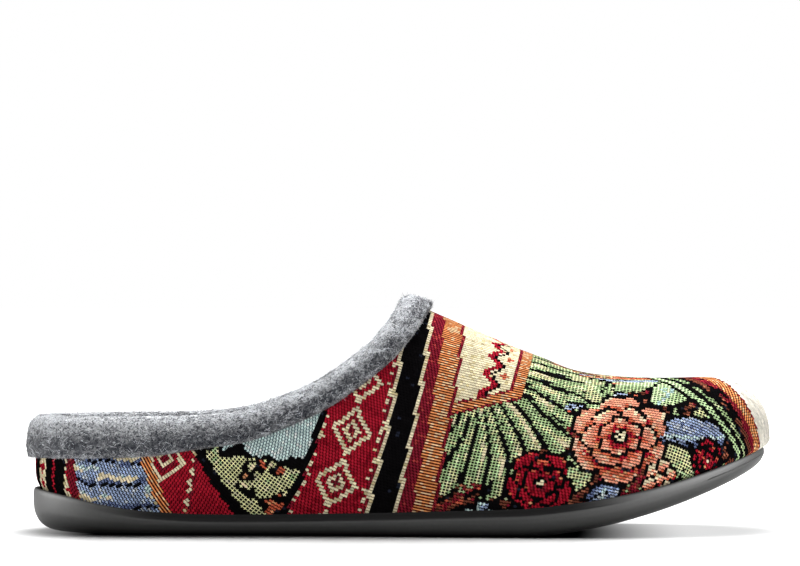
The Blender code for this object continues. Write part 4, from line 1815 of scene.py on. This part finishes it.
@dataclass
class CollarHairs:
    """Loose wool hairs that stand off the collar, each a bowed ribbon of two faces.

    A clump is its share, its stretch by axis, its size and its seed. Paleness is the least one, and what
    chance, clumps and the collar's painted light add.
    """

    count: int = 46000
    rings: tuple[int, int] = (1, 39)
    edge_ring: int = 7
    stray: Pair = (1.5, 0.8)
    length: Pair = (0.8, 2.6)
    width: float = 0.19
    taper: float = 0.75
    lift: Pair = (0.05, 0.32)
    bow: float = 0.75
    sink: float = 0.05
    curl: float = 0.16
    shares: Triple = (0.0, 0.5, 1.0)
    faces: tuple[tuple[int, ...], ...] = ((0, 1, 3, 2), (2, 3, 5, 4))
    clumps: tuple[tuple[Any, ...], ...] = (
        (0.25, (0.6, 1.0, 1.2), 3.0, 8),
        (0.75, (0.7, 1.0, 1.3), 0.85, 10),
    )
    paleness: tuple[float, ...] = (0.24, 0.5, 4.0, 0.85)
    pale_step: Pair = (0.34, 0.92)
    greys: Pair = (0.012, 0.74)
    tint: Colour = (0.95, 0.98, 1.02)
    blue: float = 0.008
    seed: int = 3

    def ribbons(
        self, rng: np.random.Generator, root: Array, along: Array, normal: Array, stray: Array
    ) -> Array:
        """Bends the ribbons over the felt.

        Args:
            rng: Source of the random numbers.
            root: Where each hair starts.
            along: Directions along the collar at the roots.
            normal: Directions off the collar at the roots.
            stray: How far each hair strays from the collar's run.

        Returns:
            Points of the ribbons in millimetres, six for each.
        """
        across = np.cross(normal, along)
        one_each = (self.count, 1)
        angle = stray * rng.normal(0.0, 1.0, one_each) + np.pi * rng.integers(0, 2, one_each)
        lie = along * np.cos(angle) + across * np.sin(angle)
        wide = np.cross(normal, lie)
        length = self.length[0] + (self.length[1] - self.length[0]) * rng.random(one_each) ** 2
        lift = self.lift[0] + self.lift[1] * rng.random(one_each) ** 3
        curl = rng.normal(0.0, self.curl, one_each)
        marks = []
        for share in self.shares:
            off = lift * np.sin(np.pi * self.bow * share) - self.sink
            middle = root + length * (lie * share + normal * off + wide * curl * share**2)
            half = wide * self.width * (1.0 - self.taper * share) / 2
            marks += [middle - half, middle + half]
        return np.stack(marks, axis=1).reshape(-1, 3)

    def shades(self, rng: np.random.Generator, root: Array, painted_light: Array) -> Array:
        """Colours of the hairs, darker and paler in clumps.

        Args:
            rng: Source of the random numbers.
            root: Where each hair starts.
            painted_light: The collar's painted light there, which pales the hairs.

        Returns:
            One colour per hair, with its alpha.
        """
        clump = sum(
            share * lattice_noise(root * np.array(stretch), size, seed)
            for share, stretch, size, seed in self.clumps
        )
        base, odd, by_clump, by_painted_light = self.paleness
        # Painted light: hairs are paler where the collar's mark is.
        pale = base + odd * rng.random(self.count) + by_clump * (clump - 0.5) + by_painted_light * (painted_light - 0.5)
        grey = self.greys[0] + self.greys[1] * smooth_step(pale, *self.pale_step)
        red, green, blue = (grey * part for part in self.tint)
        return np.column_stack([red, green, blue + self.blue, np.ones(self.count)])

    def build(self, skin: Array, painted_light: Array, material: Material) -> Object:
        """Scatters the hairs over the part of the collar that shows.

        Args:
            skin: Points of the collar, rings by columns.
            painted_light: The collar's painted light at them.
            material: Wool of the hairs.

        Returns:
            The piece.
        """
        rng = np.random.default_rng(self.seed)
        start, stop = self.rings
        j = rng.integers(0, stop - start, self.count) + start
        i = rng.integers(0, skin.shape[1] - 1, self.count)
        s, t = rng.random((2, self.count, 1))
        corner, along, up = skin[j, i], skin[j, i + 1], skin[j + 1, i]
        root = corner + (along - corner) * s + (up - corner) * t
        along = unit(along - corner)
        normal = np.cross(along, up - corner)
        normal /= np.maximum(np.linalg.norm(normal, axis=1, keepdims=True), LEAST_LENGTH)
        stray = np.where(j < self.edge_ring, *self.stray)[:, None]
        points = self.ribbons(rng, root, along, normal, stray)
        per_hair = 2 * len(self.shares)
        first = np.arange(self.count)[:, None] * per_hair
        faces = np.concatenate([first + np.array(face) for face in self.faces])
        mesh = bpy.data.meshes.new("collar_hairs")
        mesh.from_pydata(points * MM, [], faces.tolist())
        shades = np.repeat(self.shades(rng, root, painted_light[j, i]), per_hair, axis=0)
        mesh.attributes.new("shade", "FLOAT_COLOR", "POINT").data.foreach_set("color", shades.ravel())
        return shown_piece("collar_hairs", mesh, material)


@dataclass
class Sole:
    """The moulded cup sole with its stepped lip and ribbed tread."""

    last: Last
    columns: int = 420
    lip_height: float = 2.2
    shoulder: float = 0.25
    soft: float = 0.08
    tread_rings: int = 26
    side_rings: int = 16
    floor_rings: int = 8
    groove_pitch: float = 7.0
    groove_depth: float = 0.8
    groove_wave: float = 2.2
    groove_bend: float = 6.0
    groove_edge: Pair = (0.45, 0.85)
    groove_start: Pair = (0.12, 0.2)
    stepped: Pair = (-84.0, 58.0)
    blend_run: float = 34.0
    # Heights below the lip over which its painted shade fades out.
    lip_painted_shade: Pair = (0.1, 0.8)
    side: Table = Table(
        ("step", "tuck", "height"),
        (
            (0.0, 1.0, 0.0),
            (1.0, 0.5, 0.06),
            (2.0, 0.2, 0.2),
            (3.0, 0.04, 0.44),
            (4.0, 0.0, 0.66),
        ),
    )

    def ring(self, turn: Array, inset: Array | float, height: Array) -> Array:
        """Ring on the outline moved in by inset, at given heights."""
        return np.column_stack([self.last.outline(turn, inset), height])

    def ends(self, x: Array) -> Array:
        """Share of the rounded edge that heel and toe have in place of the lip."""
        low, high = self.stepped
        past_heel = smooth_step(x, low - self.blend_run, low)
        return 1 - past_heel * (1 - smooth_step(x, high, high + self.blend_run))

    def tread_ring(self, turn: Array, tuck: Array, share: float) -> Array:
        """Ring on the tread, drawn in from its edge towards the spine, with its wavy grooves."""
        plan = self.last.drawn_in(turn, tuck, share)
        wave = plan[:, 0] + self.groove_wave * np.sin(plan[:, 1] / self.groove_bend)
        groove = smooth_step(np.cos(2 * np.pi * wave / self.groove_pitch), *self.groove_edge)
        depth = self.groove_depth * groove * smooth_step(share, *self.groove_start)
        return np.column_stack([plan, self.last.tread(plan[:, 0]) + depth])

    def under_rings(self, turn: Array) -> list[Array]:
        """Rings from the middle of the tread out to its edge and up the round side."""
        last = self.last
        x = last.outline(turn, 0.0)[:, 0]
        tuck = np.where(turn <= 1.0, last.sole.at("outer", x), last.sole.at("inner", x))
        rings = [self.tread_ring(turn, tuck, share) for share in np.linspace(1.0, 0.0, self.tread_rings)]
        for step in np.linspace(0.0, self.side.rows[-1][0], self.side_rings + 1)[1:]:
            inset = tuck * self.side.at("tuck", step)
            plan_x = last.outline(turn, inset)[:, 0]
            height = last.tread(plan_x) + last.sole.at("rim", plan_x) * self.side.at("height", step)
            rings.append(self.ring(turn, inset, height))
        return rings

    def rim_rings(self, turn: Array, inner: float) -> list[Array]:
        """Rings over the lip, or over the rounded edge of heel and toe, and in to the cup's wall."""
        last = self.last
        x = last.outline(turn, 0.0)[:, 0]
        lip = last.sole.at("lip", x)
        ends = self.ends(x)
        rings = []
        for stepped, rounded, drop in (
            (0.05, 0.0, self.lip_height + 2 * self.shoulder),
            (self.shoulder, 0.01, self.lip_height + self.shoulder),
            (lip * 0.7 + self.soft, 0.02, self.lip_height + 0.05),
            (lip, 0.03, self.lip_height - 0.2),
            (lip, 0.12, self.lip_height * 0.5),
            (lip, 0.5, self.shoulder),
            (lip + self.soft, 0.75, self.soft),
            (lip + self.shoulder, 1.05, 0.0),
            (inner, inner, 0.0),
        ):
            inset = stepped + (rounded - stepped) * ends
            plan_x = last.outline(turn, inset)[:, 0]
            rings.append(self.ring(turn, inset, last.rim(plan_x) - drop))
        return rings

    def build(self, material: Material) -> Object:
        """Makes the sole.

        Args:
            material: Its rubber.

        Returns:
            The piece, which stands for the sole.
        """
        turn = np.linspace(0.0, 2.0, self.columns + 1)
        inner = self.last.upper_inset - self.last.gap
        rings = [*self.under_rings(turn), *self.rim_rings(turn, inner)]
        for share in np.linspace(0.0, 1.0, self.floor_rings):
            plan = self.last.drawn_in(turn, inner, share)
            rings.append(np.column_stack([plan, self.last.floor(plan[:, 0])]))
        piece = shown_piece("moulded_sole", closed_skin("moulded_sole", closed_rings(rings)), material)
        self.paint_lip_shade(piece.data)
        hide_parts("sole")
        return piece

    def paint_lip_shade(self, mesh: Mesh) -> None:
        """Marks the lip for painted shade, darkening the recess under the upper's bulge, faded out at heel
        and toe.
        """
        places = np.empty(len(mesh.vertices) * 3)
        mesh.vertices.foreach_get("co", places)
        places = places.reshape(-1, 3) / MM
        below = self.last.rim(places[:, 0]) - places[:, 2] - self.lip_height
        # Painted shade on the lip band, left off at heel and toe.
        lip = (1 - smooth_step(below, *self.lip_painted_shade)) * (1 - self.ends(places[:, 0]))
        mesh.attributes.new("lip", "FLOAT", "POINT").data.foreach_set("value", lip)


@dataclass(frozen=True)
class SoftLight:
    """A square soft light: its place and side in metres, its watts, and whether only gloss shows it."""

    name: str
    place: Triple
    size: float
    watts: float
    gloss_only: bool = False


@dataclass
class Studio:
    """White floor, soft lights and the camera."""

    camera_place: Triple = (0.0006, -1.65, 0.0901)
    picture_width: float = 0.2911
    sensor: float = 36.0
    floor_reach: float = 14.0
    floor_sides: int = 96
    aim: Triple = (0.0, 0.0, 0.04)
    tent_light: float = 0.16
    tent_rise: Pair = (-0.02, 0.35)
    tent_front: float = 0.5
    tent_back: Pair = (-0.2, 0.6)
    lights: tuple[SoftLight, ...] = (
        SoftLight("overhead", (0.0, 0.45, 1.1), 0.8, 41.0),
        SoftLight("heel side", (-1.35, -0.1, 0.45), 1.4, 100.0, gloss_only=True),
        SoftLight("toe side", (1.25, -0.5, 0.5), 1.4, 130.0, gloss_only=True),
        SoftLight("front", (0.0, -1.5, 0.95), 1.4, 12.5),
    )

    def camera(self) -> None:
        """Sets up a level camera square to the outer side."""
        data = bpy.data.cameras.new("camera")
        data.sensor_width = self.sensor
        data.lens = self.sensor * -self.camera_place[1] / self.picture_width
        made = placed("camera", data)
        made.location = self.camera_place
        made.rotation_euler = (math.pi / 2, 0.0, 0.0)
        bpy.context.scene.camera = made

    def floor(self) -> None:
        """Lays a wide white floor."""
        bm = bmesh.new()
        bmesh.ops.create_circle(
            bm, cap_ends=True, cap_tris=True, segments=self.floor_sides, radius=self.floor_reach
        )
        mesh = mesh_from("floor", bm)
        mesh.materials.append(FloorFinish().build())
        placed("floor", mesh)

    def light(self, light: SoftLight) -> None:
        """Hangs a light and aims it at the slipper."""
        data = bpy.data.lights.new(light.name, "AREA")
        data.size = light.size
        data.energy = light.watts
        made = placed(light.name, data)
        made.visible_diffuse = not light.gloss_only
        made.location = light.place
        made.rotation_euler = (Vector(self.aim) - Vector(light.place)).to_track_quat("-Z", "Y").to_euler()

    def tent(self) -> bpy.types.World:
        """White surround behind the slipper, which lights it faintly and from above only."""
        graph = Graph(bpy.data.worlds.new("white tent"))
        _, back, up = graph.split(graph.place("Generated"))
        shown = Value(graph, graph.node("ShaderNodeLightPath", {}, {}).outputs["Is Camera Ray"])
        round_about = self.tent_front + graph.ease(back, *self.tent_back)
        fill = graph.ease(up, *self.tent_rise) * round_about * self.tent_light
        inputs = {"Color": (1.0, 1.0, 1.0, 1.0), "Strength": fill + shown * (1.0 - fill)}
        shade = graph.node("ShaderNodeBackground", {}, inputs)
        graph.node("ShaderNodeOutputWorld", {}, {"Surface": shade.outputs[0]})
        return graph.owner

    def build(self) -> None:
        """Sets up the whole studio."""
        self.camera()
        self.floor()
        for light in self.lights:
            self.light(light)
        scene = bpy.context.scene
        scene.world = self.tent()
        scene.view_settings.view_transform = "Standard"
        LOG.info("studio: floor, lights and camera")


def main() -> None:
    """Builds the slipper's looks piece by piece."""
    logging.basicConfig(level=logging.INFO, format="%(message)s")
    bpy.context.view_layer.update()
    last = Last()
    Studio().build()
    Tapestry(last).build()
    felt = FeltParts(last)
    wool = FeltFinish("grey felt").build()
    # The collar felt and its hairs read the collar's painted light, which pales its lit top.
    skin, painted_light = felt.collar(FeltFinish("collar felt", uses_painted_light=True).build())
    CollarHairs().build(skin, painted_light, HairFinish().build())
    felt.lining(wool)
    felt.insole(wool)
    Sole(last).build(RubberFinish().build())
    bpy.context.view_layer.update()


if __name__ == "__main__":
    main()
